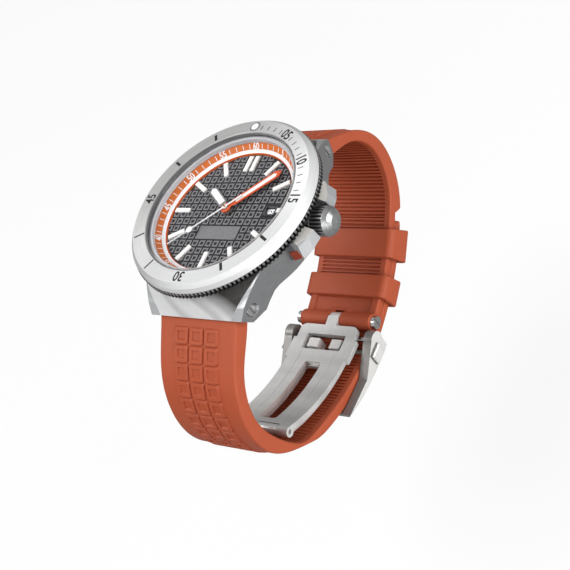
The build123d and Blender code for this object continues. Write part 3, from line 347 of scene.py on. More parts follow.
def crown_steel():
    """Satin domed end, darker fluted grip whose flute roots are painted near black as shade."""
    s = Shader("crown_fluted")
    x, y, z = s.position()
    wear = s.noise(1500, detail=5.0)
    root = s.minus(1.0, s.step_mm(s.distance(y, s.minus(z, CROWN_Z * MM)), CROWN_ROOT_R, 0.15))
    grip = s.minus(1.0, s.step_mm(x, CROWN_GRIP_END, 0.1))
    # painted shade: the flutes' roots are painted near black
    fluted = s.mix(root, s.tint(wear, "#8a8a89", "#a5a5a4"), rgb("#1e1e1e"))
    return s.surface(Base_Color=s.mix(grip, s.tint(wear, "#8c8d8d", "#b0b1b1"), fluted), Metallic=0.9,
                     Roughness=s.varied(0.3, wear, 0.1), Normal=s.rounded(0.08))


def dial_tiles():
    """Anthracite tile tops over hollows and walls painted near black as shade."""
    s = Shader("dial_relief_anthracite")
    grain = s.noise(1500, detail=4.0)
    top = s.step_mm(s.position()[2], DIAL_FACE + 0.1, 0.04)
    # painted shade: the relief below the tile tops is painted near black
    base = s.mix(top, rgb("#151515"), s.tint(grain, "#6a6a6b", "#848485"))
    return s.surface(Base_Color=base, Roughness=0.5, Normal=s.bump(grain, 0.1, GRAIN_DEPTH))


def ring_paint(name, edge, inside, outside):
    """Printed ring with one pair of hex colours inside a radius and another outside it."""
    s = Shader(name)
    grain = s.noise(2500)
    base = s.mix(s.step_mm(s.polar()[1], edge, 0.02), s.tint(grain, *inside), s.tint(grain, *outside))
    return s.surface(Base_Color=base, Roughness=s.varied(0.35, grain, 0.1))


def pip_paint():
    """White luminous filling in a grey ring."""
    s = Shader("pip_lume_ringed")
    x, y = s.position()[:2]
    grain = s.noise(1500)
    radius = s.distance(x, s.minus(y, PIP_Y * MM))
    base = s.mix(s.step_mm(radius, PIP_R, 0.04), s.tint(grain, "#e8e8e6", "#f6f6f4"),
                 s.tint(grain, "#6c6c6c", "#8a8a8a"))
    return s.surface(Base_Color=base, Roughness=0.45)


def sapphire():
    """Clear coated crystal: a faint reflection on its outer side, a rim drawn flat grey."""
    s = Shader("sapphire_coated")
    smear = s.noise(60, detail=2.0)
    glossy = s.add("BsdfGlossy", {"Color": rgb("#dfe6ee"), "Roughness": s.varied(0.02, smear, 0.03)})
    clear = s.add("BsdfTransparent", {"Color": rgb("#fdfdfe")})
    front = s.minus(1.0, s.add("NewGeometry").outputs["Backfacing"])
    mirror = s.times(s.times(s.add("Fresnel", {"IOR": 1.2}).outputs[0], 0.6), front)
    coated = s.add("MixShader", {0: mirror, 1: clear.outputs[0], 2: glossy.outputs[0]})
    rim_grey = s.add("BsdfDiffuse", {"Color": rgb("#9c9a98")})
    rim = s.times(s.times(s.step_mm(s.polar()[1], RIM_R, 0.05), 0.75), front)
    return s.show(s.add("MixShader", {0: rim, 1: coated.outputs[0], 2: rim_grey.outputs[0]}))


MATERIALS = {
    "case": case_steel(),
    "bezel": bezel_steel(),
    "crown": crown_steel(),
    "blade": brushed("steel_blade_brushed", rgb("#f0f0ee"), (6500, 150, 150), rough=0.34, contrast=0.22,
                     broad=(30, 170, 170), metallic=0.6),
    "cover": cover_steel(),
    "hand": polished("hand_steel", rgb("#b9b9ba"), rough=0.3),
    "back": brushed("steel_back_turned", rgb("#c2c2c2"), (2, 9000, 9000), rough=0.3, turned=True),
    "screw": polished("steel_screw_polished", rgb("#d9d9d8")),
    "pin": polished("steel_pin_polished", rgb("#c6c6c6"), rough=0.2),
    "nickel": brushed("nickel_striped", rgb("#c9c7c1"), (1800, 90, 900), rough=0.28, contrast=0.2),
    "brass": polished("brass_gilt", rgb("#cfa85a"), rough=0.22),
    "spring": polished("spring_blued", rgb("#5a6a8c"), rough=0.25),
    "gasket": matt("gasket_black_rubber", rgb("#161616"), rough=0.6),
    "pip": pip_paint(),
    "seal": matt("crystal_seal_grey", rgb("#c4c4c5"), rough=0.45, mottle=0.05),
    "dial": matt("dial_anthracite", rgb("#1b1b1c"), rough=0.55, mottle=0.2),
    "relief": dial_tiles(),
    "white": matt("paint_white", rgb("#f2f2f0"), rough=0.4, mottle=0.03),
    # painted light: the date disc glows so that it reads bright down in its window
    "disc": matt("date_disc_white", rgb("#fdfdfb"), rough=0.5, mottle=0.02, glow=0.35),
    "frame": polished("date_frame_dark", rgb("#6a6a6b"), rough=0.35),
    "lume": matt("lume_white", rgb("#f6f6f0"), rough=0.55, mottle=0.03, scale=6000),
    "black": matt("paint_black", rgb("#101010"), rough=0.45),
    "orange": matt("paint_orange", rgb("#dc5a2c"), rough=0.35, mottle=0.06),
    # painted reflection: the guard's end facet is painted dark red-orange as the strap reflected in it, in
    # shade
    "inlay": matt("inlay_painted_strap_reflection", rgb("#9a3d26"), rough=0.4, mottle=0.15),
    "flange": ring_paint("flange_orange_printed", FLANGE_WHITE_R,
                         inside=("#ececec", "#fafafa"), outside=("#c9621a", "#dc7424")),
    "chapter": ring_paint("chapter_white_printed", CHAPTER_ORANGE_R,
                          inside=("#cf5a1c", "#e06a28"), outside=("#f0f0f0", "#fdfdfd")),
    "crystal": sapphire(),
    "rubber": rubber(),
}

NODE_MATERIALS = {
    "case": ["case_middle"],
    "bezel": ["bezel"],
    "crown": ["crown"],
    "back": ["case_back"],
    "blade": ["blade_inner", "blade_middle"],
    "cover": ["cover", "push_button_crown_side", "push_button_far_side"],
    "screw": ["lug_screws", "clasp_bar_screws"],
    "pin": ["lug_bars", "clasp_bar", "fold_pin", "cover_pin", "strap_peg", "crown_tube", "winding_stem",
            "click_spring", "button_springs", "pallet_fork", "escape_wheel", "cannon_pinion"],
    "nickel": ["main_plate", "train_bridge", "balance_cock", "rotor", "movement_ring"],
    "brass": ["barrel", "centre_wheel", "third_wheel", "fourth_wheel", "hour_wheel", "minute_wheel",
              "balance_wheel"],
    "spring": ["hairspring"],
    "gasket": ["bezel_gasket", "case_back_gasket", "crown_gasket"],
    "seal": ["crystal_gasket"],
    "dial": ["dial"],
    "white": ["seconds_hand"],
    "disc": ["date_ring"],
    "frame": ["date_frame"],
    "hand": ["hour_hand"],
    "lume": ["hour_markers", "hour_hand_lume", "minute_hand_lume"],
    "pip": ["bezel_pip"],
    "orange": ["minute_hand"],
    "inlay": ["guard_inlay"],
    "flange": ["flange_ring"],
    "chapter": ["chapter_ring"],
    "crystal": ["crystal"],
}


def finish_node(name, material):
    """Give a CAD node its procedural finish."""
    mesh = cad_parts[name].data
    mesh.materials.clear()
    mesh.materials.append(material)


for finish, names in NODE_MATERIALS.items():
    for name in names:
        finish_node(name, MATERIALS[finish])


# ======== mesh helpers ========
def new_piece(name, points, faces, material, body=None, slot=None, smooth_deg=None):
    """A mesh object from millimetre points, riding on a body."""
    mesh = bpy.data.meshes.new(name)
    mesh.from_pydata([tuple(c * MM for c in p) for p in points], [], [tuple(f) for f in faces])
    mesh.validate()
    mesh.materials.append(material)
    if smooth_deg:
        mesh.shade_smooth()
        mesh.set_sharp_from_angle(angle=radians(smooth_deg))
    piece = bpy.data.objects.new(name, mesh)
    bpy.context.scene.collection.objects.link(piece)
    if body:
        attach(piece, body)
    return piece


class Heap:
    """Points and faces of many small shapes gathered into one mesh."""

    def __init__(self):
        self.points, self.faces = [], []

    def add(self, points, faces):
        start = len(self.points)
        self.points += [tuple(p) for p in points]
        self.faces += [tuple(start + i for i in f) for f in faces]


def placed(matrix, points):
    return [tuple(matrix @ Vector(p)) for p in points]


def bar_shape(x0, x1, y0, y1, z0, z1):
    points = [(x, y, z) for z in (z0, z1) for x, y in ((x0, y0), (x1, y0), (x1, y1), (x0, y1))]
    return points, [(3, 2, 1, 0), (4, 5, 6, 7), (0, 1, 5, 4), (1, 2, 6, 5), (2, 3, 7, 6), (3, 0, 4, 7)]


FONT_RISE = 1.4                       # font size that gives numerals about one unit high
NUMERAL_SQUEEZE = 0.8                 # width of the numerals against the font's own
PRINT, SUNK = 0.03, 0.01              # thickness of a printed mark, and how far it reaches into its surface
TICK_HALF = 0.08                      # half width of a minute mark


def glyph_shape(text, height, bold=0.0):
    """Printed numerals from Blender's own font, centred, in the XY plane; bold thickens the strokes."""
    curve = bpy.data.curves.new("numerals", "FONT")
    curve.body, curve.size = text, height * FONT_RISE
    curve.align_x, curve.align_y = "CENTER", "CENTER"
    curve.extrude, curve.resolution_u, curve.offset = PRINT / 2, 3, bold
    holder = bpy.data.objects.new("numerals", curve)
    bpy.context.scene.collection.objects.link(holder)
    depsgraph = bpy.context.evaluated_depsgraph_get()
    mesh = bpy.data.meshes.new_from_object(holder.evaluated_get(depsgraph))
    xs = [v.co.x for v in mesh.vertices]
    ys = [v.co.y for v in mesh.vertices]
    cx, cy = (min(xs) + max(xs)) / 2, (min(ys) + max(ys)) / 2
    points = [((v.co.x - cx) * NUMERAL_SQUEEZE, v.co.y - cy, v.co.z) for v in mesh.vertices]
    faces = [tuple(p.vertices) for p in mesh.polygons]
    bpy.data.objects.remove(holder)
    bpy.data.curves.remove(curve)
    bpy.data.meshes.remove(mesh)
    return points, faces


def corner_turns(steps):
    """Signs and angle of every point on the way round the four corners of a rounded rectangle."""
    for quarter, (sx, sy) in enumerate(((1, 1), (-1, 1), (-1, -1), (1, -1))):
        for k in range(steps):
            yield sx, sy, pi / 2 * (quarter + k / (steps - 1))


def rounded_square(half_x, half_y, radius, z, steps=3):
    """Corner-rounded rectangle as a closed loop of points."""
    return [(sx * (half_x - radius) + radius * cos(a), sy * (half_y - radius) + radius * sin(a), z)
            for sx, sy, a in corner_turns(steps)]


def round_loop(radius, z, sides, centre):
    """Circle at a height as a closed loop of points."""
    turns = [2 * pi * i / sides for i in range(sides)]
    return [(centre[0] + radius * cos(turn), centre[1] + radius * sin(turn), z) for turn in turns]


def loops_to_faces(count, loops):
    """Side faces between successive loops of count points, capped at both ends."""
    faces = [tuple(reversed(range(count)))]
    for level in range(loops - 1):
        low, high = level * count, (level + 1) * count
        for i in range(count):
            j = (i + 1) % count
            faces.append((low + i, low + j, high + j, high + i))
    faces.append(tuple((loops - 1) * count + i for i in range(count)))
    return faces


def ring_matrix(minute, radius, height, slope=0.0):
    """Frame at a minute mark: x runs clockwise, y outward up a slope, z out of the surface."""
    angle = radians(90 - 6 * minute)
    out = Vector((cos(angle), sin(angle), 0))
    along = Vector((sin(angle), -cos(angle), 0))
    up = out * cos(slope) + Vector((0, 0, sin(slope)))
    normal = along.cross(up)
    at = out * radius + Vector((0, 0, height))
    return Matrix(((along.x, up.x, normal.x, at.x), (along.y, up.y, normal.y, at.y),
                   (along.z, up.z, normal.z, at.z), (0, 0, 0, 1)))


# ======== bezel print ========
BEZEL_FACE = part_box("bezel")[1].z / MM
BEZEL_MARK_R, BEZEL_IN_R, BEZEL_OUT_R = 18.96, 17.9, 20.4
BROAD_MARK_R = 19.9                   # outer end of the broad marks
BROAD_HALF, NARROW_HALF = 0.3, 0.16   # half widths of the long marks


def bezel_print():
    """Numerals, minute marks over the first quarter, and long marks round the rest."""
    heap = Heap()
    for label in ("05", "10", "15", "30", "45"):
        shape, faces = glyph_shape(label, 2.3, bold=0.06)
        place = ring_matrix(int(label), BEZEL_MARK_R + 0.15, BEZEL_FACE + PRINT / 2 - SUNK)
        heap.add(placed(place, shape), faces)
    for minute in range(1, 15):
        if minute % 5:
            shape, faces = bar_shape(-TICK_HALF, TICK_HALF, -0.65, 0.45, -SUNK, PRINT)
            heap.add(placed(ring_matrix(minute, BEZEL_MARK_R, BEZEL_FACE), shape), faces)
    marks = [(minute, BROAD_HALF, BEZEL_IN_R, BROAD_MARK_R) for minute in (20, 25)]
    marks += [(minute, BROAD_HALF, BEZEL_IN_R + 0.3, BROAD_MARK_R) for minute in (50, 55)]
    marks += [(minute, NARROW_HALF, BEZEL_IN_R, BEZEL_OUT_R) for minute in (35, 40)]
    for minute, half, inner, outer in marks:
        shape, faces = bar_shape(-half, half, inner, outer, -SUNK, PRINT)
        heap.add(placed(ring_matrix(minute, 0, BEZEL_FACE), shape), faces)
    new_piece("bezel_marks", heap.points, heap.faces, MATERIALS["black"], "bezel", "gasket_black")


# ======== flange print ========
FLANGE_FOOT, FLANGE_HEAD = (15.35, 9.75), (16.75, 11.2)    # radius and height of the slope's two ends
FLANGE_SLOPE = atan2(FLANGE_HEAD[1] - FLANGE_FOOT[1], FLANGE_HEAD[0] - FLANGE_FOOT[0])
FLANGE_MARK_SHARE = 0.58              # how far up the slope the marks are centred
FLANGE_LIFT = 0.012


def flange_print():
    """Minute scale on the slope, with a numeral every five minutes."""
    heap = Heap()
    radius, height = [a + FLANGE_MARK_SHARE * (b - a) for a, b in zip(FLANGE_FOOT, FLANGE_HEAD)]
    for minute in range(60):
        if minute % 5 == 0:
            shape, faces = glyph_shape(str(minute or 60), 1.5, bold=0.05)
        else:
            shape, faces = bar_shape(-TICK_HALF, TICK_HALF, -0.5, 0.5, -SUNK, PRINT)
        heap.add(placed(ring_matrix(minute, radius, height + FLANGE_LIFT, FLANGE_SLOPE), shape), faces)
    new_piece("flange_marks", heap.points, heap.faces, MATERIALS["white"], "root", "white_paint")


# ======== dial relief ========
TILE_PITCH = 1.84
TILE_HALF, HOLLOW_HALF = 0.76, 0.38
TILE_TOP, HOLLOW_FLOOR = 0.16, 0.03
DIAL_EDGE, EDGE_MARGIN = 14.8, 0.15   # radius that trims the tiles; their centres stay this far inside it
HUB_R = 1.0                           # no tile under the hands' hub
FRAME_MARGIN = (0.8, 0.75)            # clear space round the date frame in x and y
PANEL_HALF, PANEL_LOW, PANEL_HIGH = 3 * TILE_PITCH, -4 * TILE_PITCH, -2 * TILE_PITCH


def tile_is_clear(x, y, frame_low, frame_high):
    """Whether a tile centred here misses the dial's edge, hub, plain panel and date frame."""
    if not HUB_R <= hypot(x, y) <= DIAL_EDGE - EDGE_MARGIN:
        return False
    if abs(x) < PANEL_HALF and PANEL_LOW < y < PANEL_HIGH:
        return False
    beside_x = frame_low.x - FRAME_MARGIN[0] < x < frame_high.x + FRAME_MARGIN[0]
    return not (beside_x and abs(y) < frame_high.y + FRAME_MARGIN[1])


def dial_relief():
    """Grid of raised square tiles with hollow middles, and a plain panel below the centre."""
    heap = Heap()
    # half width, corner radius and height: up the wall, over the rim and down the hollow
    profile = ((TILE_HALF, 0.12, 0.0), (TILE_HALF - 0.03, 0.12, TILE_TOP - 0.03),
               (TILE_HALF - 0.07, 0.1, TILE_TOP), (HOLLOW_HALF, 0.06, TILE_TOP),
               (HOLLOW_HALF - 0.03, 0.05, HOLLOW_FLOOR))
    levels = [rounded_square(half, half, radius, z) for half, radius, z in profile]
    count = len(levels[0])
    faces = loops_to_faces(count, len(levels))
    date_box = [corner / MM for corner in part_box("date_frame")]
    reach = int(DIAL_EDGE / TILE_PITCH) + 1
    for row in range(-reach, reach):
        for column in range(-reach, reach):
            cx, cy = (column + 0.5) * TILE_PITCH, (row + 0.5) * TILE_PITCH
            if not tile_is_clear(cx, cy, *date_box):
                continue
            points = []
            for x, y, z in [point for loop in levels for point in loop]:
                px, py = cx + x, cy + y
                over = hypot(px, py) / DIAL_EDGE
                if over > 1:
                    px, py = px / over, py / over
                points.append((px, py, DIAL_FACE + z))
            heap.add(points, faces)
    middle_y = (PANEL_LOW + PANEL_HIGH) / 2
    half_y = (PANEL_HIGH - PANEL_LOW) / 2 - (TILE_PITCH / 2 - TILE_HALF)
    half_x = PANEL_HALF - (TILE_PITCH / 2 - TILE_HALF)
    panel = [rounded_square(half_x, half_y, 0.15, DIAL_FACE),
             rounded_square(half_x - 0.03, half_y - 0.03, 0.14, DIAL_FACE + TILE_TOP - 0.03),
             rounded_square(half_x - 0.08, half_y - 0.08, 0.12, DIAL_FACE + TILE_TOP)]
    heap.add([(x, y + middle_y, z) for loop in panel for x, y, z in loop], loops_to_faces(count, 3))
    new_piece("dial_relief", heap.points, heap.faces, MATERIALS["relief"], "root", "dial_dark")


# ======== date and seconds hand ========
DAYS, SHOWN_DAY = 31, 28
LUME_RING_R = 8.8                     # distance of the seconds hand's ring from the dial axis
LUME_SIDES = 24


def date_print():
    """Numerals 1 to 31 on the date ring, each upright when it reaches the window."""
    heap = Heap()
    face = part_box("date_ring")[1].z / MM
    window_low, window_high = [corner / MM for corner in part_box("date_frame")]
    radius = (window_low.x + window_high.x) / 2
    for day in range(DAYS):
        shape, faces = glyph_shape(str((day + SHOWN_DAY - 1) % DAYS + 1), 1.25)
        turn = Matrix.Rotation(2 * pi * day / DAYS, 4, "Z")
        heap.add(placed(turn @ Matrix.Translation((radius, 0, face + PRINT / 2 - SUNK)), shape), faces)
    new_piece("date_numerals", heap.points, heap.faces, MATERIALS["black"], "date", "gasket_black")


def seconds_lume():
    """Luminous dot in the seconds hand's ring."""
    low, high = [corner.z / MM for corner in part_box("seconds_hand")]
    angle = radians(SECOND_ANGLE)
    centre = (LUME_RING_R * cos(angle), LUME_RING_R * sin(angle))
    profile = ((0.47, low + 0.02), (0.49, low + 0.06), (0.49, high - 0.02), (0.4, high + 0.03),
               (0.2, high + 0.05))
    points = [point for radius, z in profile for point in round_loop(radius, z, LUME_SIDES, centre)]
    new_piece("seconds_hand_lume", points, loops_to_faces(LUME_SIDES, len(profile)), MATERIALS["lume"],
              "seconds", "lume", smooth_deg=40)


bezel_print()
flange_print()
dial_relief()
date_print()
seconds_lume()


# ======== strap ========
class Relief:
    """Raised or sunk rounded rectangles on one face of the strap."""

    def __init__(self):
        self.pads = []

    def pad(self, u0, u1, s0, s1, height, radius, edge):
        self.pads.append((u0, u1, s0, s1, height, radius, edge))

    def lines(self, first, low, high):
        """Grid positions inside (low, high) at every pad's edges, along u (first 0) or s (first 2)."""
        marks = set()
        for pad in self.pads:
            radius, edge = pad[5], pad[6]
            for place, inward in ((pad[first], 1), (pad[first + 1], -1)):
                for offset in (-edge / 2, 0.0, edge / 2, radius):
                    marks.add(round(place + inward * offset, 3))
        return [m for m in marks if low < m < high]

    def height(self, u, s):
        total = np.zeros(np.broadcast(u, s).shape)
        for u0, u1, s0, s1, height, radius, edge in self.pads:
            qx = np.abs(u - (u0 + u1) / 2) - ((u1 - u0) / 2 - radius)
            qy = np.abs(s - (s0 + s1) / 2) - ((s1 - s0) / 2 - radius)
            beyond = np.hypot(np.maximum(qx, 0), np.maximum(qy, 0))
            outside = beyond + np.minimum(np.maximum(qx, qy), 0) - radius
            share = np.clip(0.5 - outside / edge, 0, 1)
            total = total + height * share * share * (3 - 2 * share)
        return total


LEAST_STEP = 0.03                     # grid positions closer than this are merged


def spaced(marks, low, high, gap):
    """Sorted grid positions from low to high with no interval wider than gap."""
    ordered = [low]
    for m in sorted(marks) + [high]:
        if m - ordered[-1] < LEAST_STEP:
            continue
        while m - ordered[-1] > gap:
            ordered.append(ordered[-1] + min(gap, (m - ordered[-1]) / 2))
        ordered.append(m)
    if high - ordered[-1] > 1e-6:
        ordered[-1] = high
    return np.array(ordered)


RAY_X, RAY_COUNT = 5.0, 1400          # the straps are measured in the plane x = RAY_X, with this many rays


class StrapFaces:
    """Inner and outer face of a strap half in a YZ plane, found by rays from inside the loop."""

    def __init__(self, nodes, start_deg, stop_deg):
        points, faces = [], []
        for name in nodes:
            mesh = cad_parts[name].data
            base = len(points)
            points += [v.co.copy() for v in mesh.vertices]
            faces += [tuple(base + i for i in p.vertices) for p in mesh.polygons]
        tree = BVHTree.FromPolygons(points, faces)
        start = Vector((RAY_X, LOOP_Y, LOOP_Z)) * MM
        inner, outer = [], []
        for a in np.radians(np.linspace(start_deg, stop_deg, RAY_COUNT)):
            direction = Vector((0, sin(a), -cos(a)))
            hits, origin = [], start
            while True:
                hit = tree.ray_cast(origin, direction)[0]
                if hit is None:
                    break
                hits.append(hit)
                origin = hit + direction * 0.001 * MM
            if len(hits) > 1:
                inner.append((hits[0].y / MM, hits[0].z / MM))
                outer.append((hits[-1].y / MM, hits[-1].z / MM))
        self.inner, self.outer = np.array(inner), np.array(outer)
        steps = np.hypot(*np.diff(self.outer, axis=0).T)
        self.s = np.concatenate([[0], np.cumsum(steps)])
        self.length = self.s[-1]

    def at(self, s):
        """Outer and inner (y, z) at these arc lengths."""
        outer = np.stack([np.interp(s, self.s, self.outer[:, k]) for k in (0, 1)], axis=-1)
        inner = np.stack([np.interp(s, self.s, self.inner[:, k]) for k in (0, 1)], axis=-1)
        return outer, inner

    def s_at_y(self, y, last=True):
        """Arc length where the outer face crosses this y, on its last or first crossing."""
        crossing = np.where(np.diff(np.sign(self.outer[:, 0] - y)))[0]
        return self.s[crossing[-1 if last else 0]]


STRAP_CORNER, CORNER_SHARE = 0.45, 0.42    # rounding of the edges, at most this share of the thickness
SIDE_ZONE = 1.5                       # this near the side, the grid follows the strap's width
GRID_ACROSS, GRID_ALONG = 1.5, 1.0    # widest steps of the grid


def strap_piece(name, faces, outer_relief, inner_relief, half_at):
    """Closed strap mesh with relief on both faces; half_at gives the half width at s."""
    widest = max(half_at(0.0), half_at(faces.length)) - STRAP_CORNER
    reliefs = (outer_relief, inner_relief)
    u_out, u_in = [spaced(relief.lines(0, -widest + 0.3, widest - 0.3), -widest, widest, GRID_ACROSS)
                   for relief in reliefs]
    marks = [mark for relief in reliefs for mark in relief.lines(2, 0.1, faces.length - 0.1)]
    rows = spaced(marks, 0.0, faces.length, GRID_ALONG)
    outer, inner = faces.at(rows)
    thick = np.hypot(*(outer - inner).T)
    away = (outer - inner) / np.maximum(thick, 1e-6)[:, None]
    half = np.array([half_at(s) for s in rows])
    bend = np.minimum(STRAP_CORNER, thick * CORNER_SHARE)
    scale = (half - bend) / widest

    def across(u):
        return np.where(abs(u) > widest - SIDE_ZONE, u * scale, u * np.minimum(scale, 1))

    # each column is (u, depth below the outer face) per row, going round the section
    lift = outer_relief.height(u_out[None, :], rows[:, None])
    sink = inner_relief.height(u_in[None, :], rows[:, None])
    upper = [(half - bend + bend * sin(a), bend * (1 - cos(a))) for a in np.radians([22.5, 45, 67.5, 90])]
    lower = [(width, thick - depth) for width, depth in upper]
    columns = [(across(u), -lift[:, k]) for k, u in enumerate(u_out)]
    columns += upper + lower[::-1]
    columns += [(across(u_in[k]), thick + sink[:, k]) for k in reversed(range(len(u_in)))]
    columns += [(-width, depth) for width, depth in lower + upper[::-1]]
    points = []
    for i in range(len(rows)):
        for u, depth in columns:
            y, z = outer[i] - away[i] * depth[i]
            points.append((u[i], y, z))
    count = len(columns)
    quads = [tuple(range(count))]
    for i in range(len(rows) - 1):
        here, after = i * count, (i + 1) * count
        for k in range(count):
            j = (k + 1) % count
            quads.append((here + k, after + k, after + j, here + j))
    last = (len(rows) - 1) * count
    quads.append(tuple(last + k for k in reversed(range(count))))
    return new_piece(name, points, quads, MATERIALS["rubber"], slot="rubber_orange", smooth_deg=35)


def cut(piece, *cutters):
    """Subtract closed cutter meshes and keep the result as the piece's own mesh."""
    for cutter in cutters:
        modifier = piece.modifiers.new("cut", "BOOLEAN")
        modifier.operation, modifier.solver, modifier.object = "DIFFERENCE", "EXACT", cutter
    depsgraph = bpy.context.evaluated_depsgraph_get()
    mesh = bpy.data.meshes.new_from_object(piece.evaluated_get(depsgraph))
    piece.modifiers.clear()
    piece.data = mesh
    for cutter in cutters:
        bpy.data.objects.remove(cutter)


BAR_HOLE_R, BAR_HOLE_HALF, BAR_HOLE_SIDES = 0.93, 12, 40
LUG_BAR_R = 0.9


def bar_hole(y, z):
    """Cutter for the hole that a bar along X runs through."""
    turns = [2 * pi * i / BAR_HOLE_SIDES for i in range(BAR_HOLE_SIDES)]
    points = [(x, y + BAR_HOLE_R * cos(turn), z + BAR_HOLE_R * sin(turn))
              for x in (-BAR_HOLE_HALF, BAR_HOLE_HALF) for turn in turns]
    return new_piece("cutter", points, loops_to_faces(BAR_HOLE_SIDES, 2), MATERIALS["rubber"])


SQUARE_PITCH, SQUARE_HALF, HOLLOW = 4.0, 1.8, 0.98
SQUARE_HIGH, HOLLOW_DEEP = 0.36, 0.34
ROW_PITCH, ROW_HALF, HOLLOW_ALONG = 3.7, 1.66, 0.93    # the last is the hollow's length for its width
RIB_PITCH, RIB_GROOVE, RIB_DEEP, RIB_HALF = 0.98, 0.42, 0.4, 8.5


def squares(relief, first, count):
    """Three columns of raised squares, each with a hollow, from s = first."""
    for row in range(count):
        middle = first + (row + 0.5) * ROW_PITCH
        for column in (-1, 0, 1):
            u = column * SQUARE_PITCH
            relief.pad(u - SQUARE_HALF, u + SQUARE_HALF, middle - ROW_HALF, middle + ROW_HALF,
                       SQUARE_HIGH, radius=0.35, edge=0.12)
            along = HOLLOW * HOLLOW_ALONG
            relief.pad(u - HOLLOW, u + HOLLOW, middle - along, middle + along, -HOLLOW_DEEP,
                       radius=0.12, edge=0.12)


def ribs(relief, first, last):
    """Fine grooves across the face that rests on the wrist."""
    s = first
    while s < last:
        relief.pad(-RIB_HALF, RIB_HALF, s, s + RIB_GROOVE, -RIB_DEEP, radius=0.15, edge=0.16)
        s += RIB_PITCH


HOOD_EDGE_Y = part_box("case_middle")[1].y / MM
BAR_Y, BAR_Z = [(low + high) / 2 / MM for low, high in list(zip(*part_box("clasp_bar")))[1:]]
LUG_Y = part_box("lug_bars")[1].y / MM - LUG_BAR_R
LUG_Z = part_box("lug_bars")[1].z / MM - LUG_BAR_R
STRAP_HALF, END_HALF, TAPER_LENGTH = 10.15, 9.8, 45.0      # half widths at the lugs and at the clasp
RELIEF_START, RIB_START, RIB_REST = 1.2, 7.0, 1.0          # how far from the hood, and short of the end
LOWER_SWEEP, UPPER_SWEEP = (-133.5, 60.0), (133.5, 1.0)    # angles of the rays, from below the loop's point
COVER_START_Y, TAIL_FREE_Y = -20.0, 0.5                    # where the cover hides the strap, and lets it out
TAIL_ROUND = 3.0                      # rounding of the tail's end
HOLE_R, HOLE_DEEP, HOLE_PITCH = 1.05, 0.7, 5.0
FIRST_HOLE, LAST_HOLE = 4.5, 4        # from where the tail comes out, and from its end
UPPER_STEP_Y, WELL_Y = 31.6, (10.6, 6.9)                   # step that the tail meets, ends of the inner well
SLOT_HALF, SLOT_START_Y, SLOT_END = 1.6, -1.0, 2.4         # slot for the blade's tongue, past the bar
SLOT_Z = (-44.0, -32.0)


def taper(s):
    """Half width of a strap at s from the lugs."""
    return STRAP_HALF + (END_HALF - STRAP_HALF) * min(1.0, s / TAPER_LENGTH)


def build_lower():
    faces = StrapFaces(["strap_lower", "strap_bend", "strap_end"], *LOWER_SWEEP)
    edge = faces.s_at_y(-HOOD_EDGE_Y, last=False)
    cover_s, end_s = faces.s_at_y(COVER_START_Y), faces.s_at_y(TAIL_FREE_Y)
    outer, inner = Relief(), Relief()
    squares(outer, edge + RELIEF_START, int((cover_s - edge - 3.0) / ROW_PITCH))
    ribs(inner, edge + RIB_START, end_s - RIB_REST)
    hole_s = end_s + FIRST_HOLE
    while hole_s < faces.length - LAST_HOLE:
        for relief in (outer, inner):
            relief.pad(-HOLE_R, HOLE_R, hole_s - HOLE_R, hole_s + HOLE_R, -HOLE_DEEP, radius=1.0, edge=0.2)
        hole_s += HOLE_PITCH

    def half_at(s):
        left = TAIL_ROUND - (faces.length - s)
        if left <= 0:
            return taper(s)
        return taper(s) - (TAIL_ROUND - sqrt(max(0.0, TAIL_ROUND ** 2 - left * left)))

    piece = strap_piece("strap_lower_rubber", faces, outer, inner, half_at)
    cut(piece, bar_hole(-LUG_Y, LUG_Z))
    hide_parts("strap_lower", "strap_bend", "strap_end")
    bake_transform(piece)


def build_upper():
    faces = StrapFaces(["strap_upper"], *UPPER_SWEEP)
    edge = faces.s_at_y(HOOD_EDGE_Y, last=False)
    outer, inner = Relief(), Relief()
    squares(outer, edge + RELIEF_START, int((faces.s_at_y(UPPER_STEP_Y) - edge - 3.5) / ROW_PITCH))
    well_top, well_low = [faces.s_at_y(y) for y in WELL_Y]
    ribs(inner, edge + RIB_START, well_top - RIB_REST)
    inner.pad(-8.2, 8.2, well_top, well_low, -0.5, radius=0.5, edge=0.25)
    inner.pad(-2.6, 2.6, well_low - 0.7, well_low + 0.4, 0.3, radius=0.3, edge=0.3)
    piece = strap_piece("strap_upper_rubber", faces, outer, inner, taper)
    slot = bar_shape(-SLOT_HALF, SLOT_HALF, SLOT_START_Y, BAR_Y + SLOT_END, *SLOT_Z)
    cut(piece, bar_hole(LUG_Y, LUG_Z), bar_hole(BAR_Y, BAR_Z),
        new_piece("cutter", *slot, MATERIALS["rubber"]))
    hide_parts("strap_upper")
    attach(piece, "root")


build_lower()
build_upper()


# ======== keepers ========
KEEPER_INNER_R, KEEPER_HALF, KEEPER_WALL = 47.5, 11.2, 1.0
KEEPER_SOFT, KEEPER_BEND = 0.28, 1.1  # rounding of the band's edges, and of the loop's corners


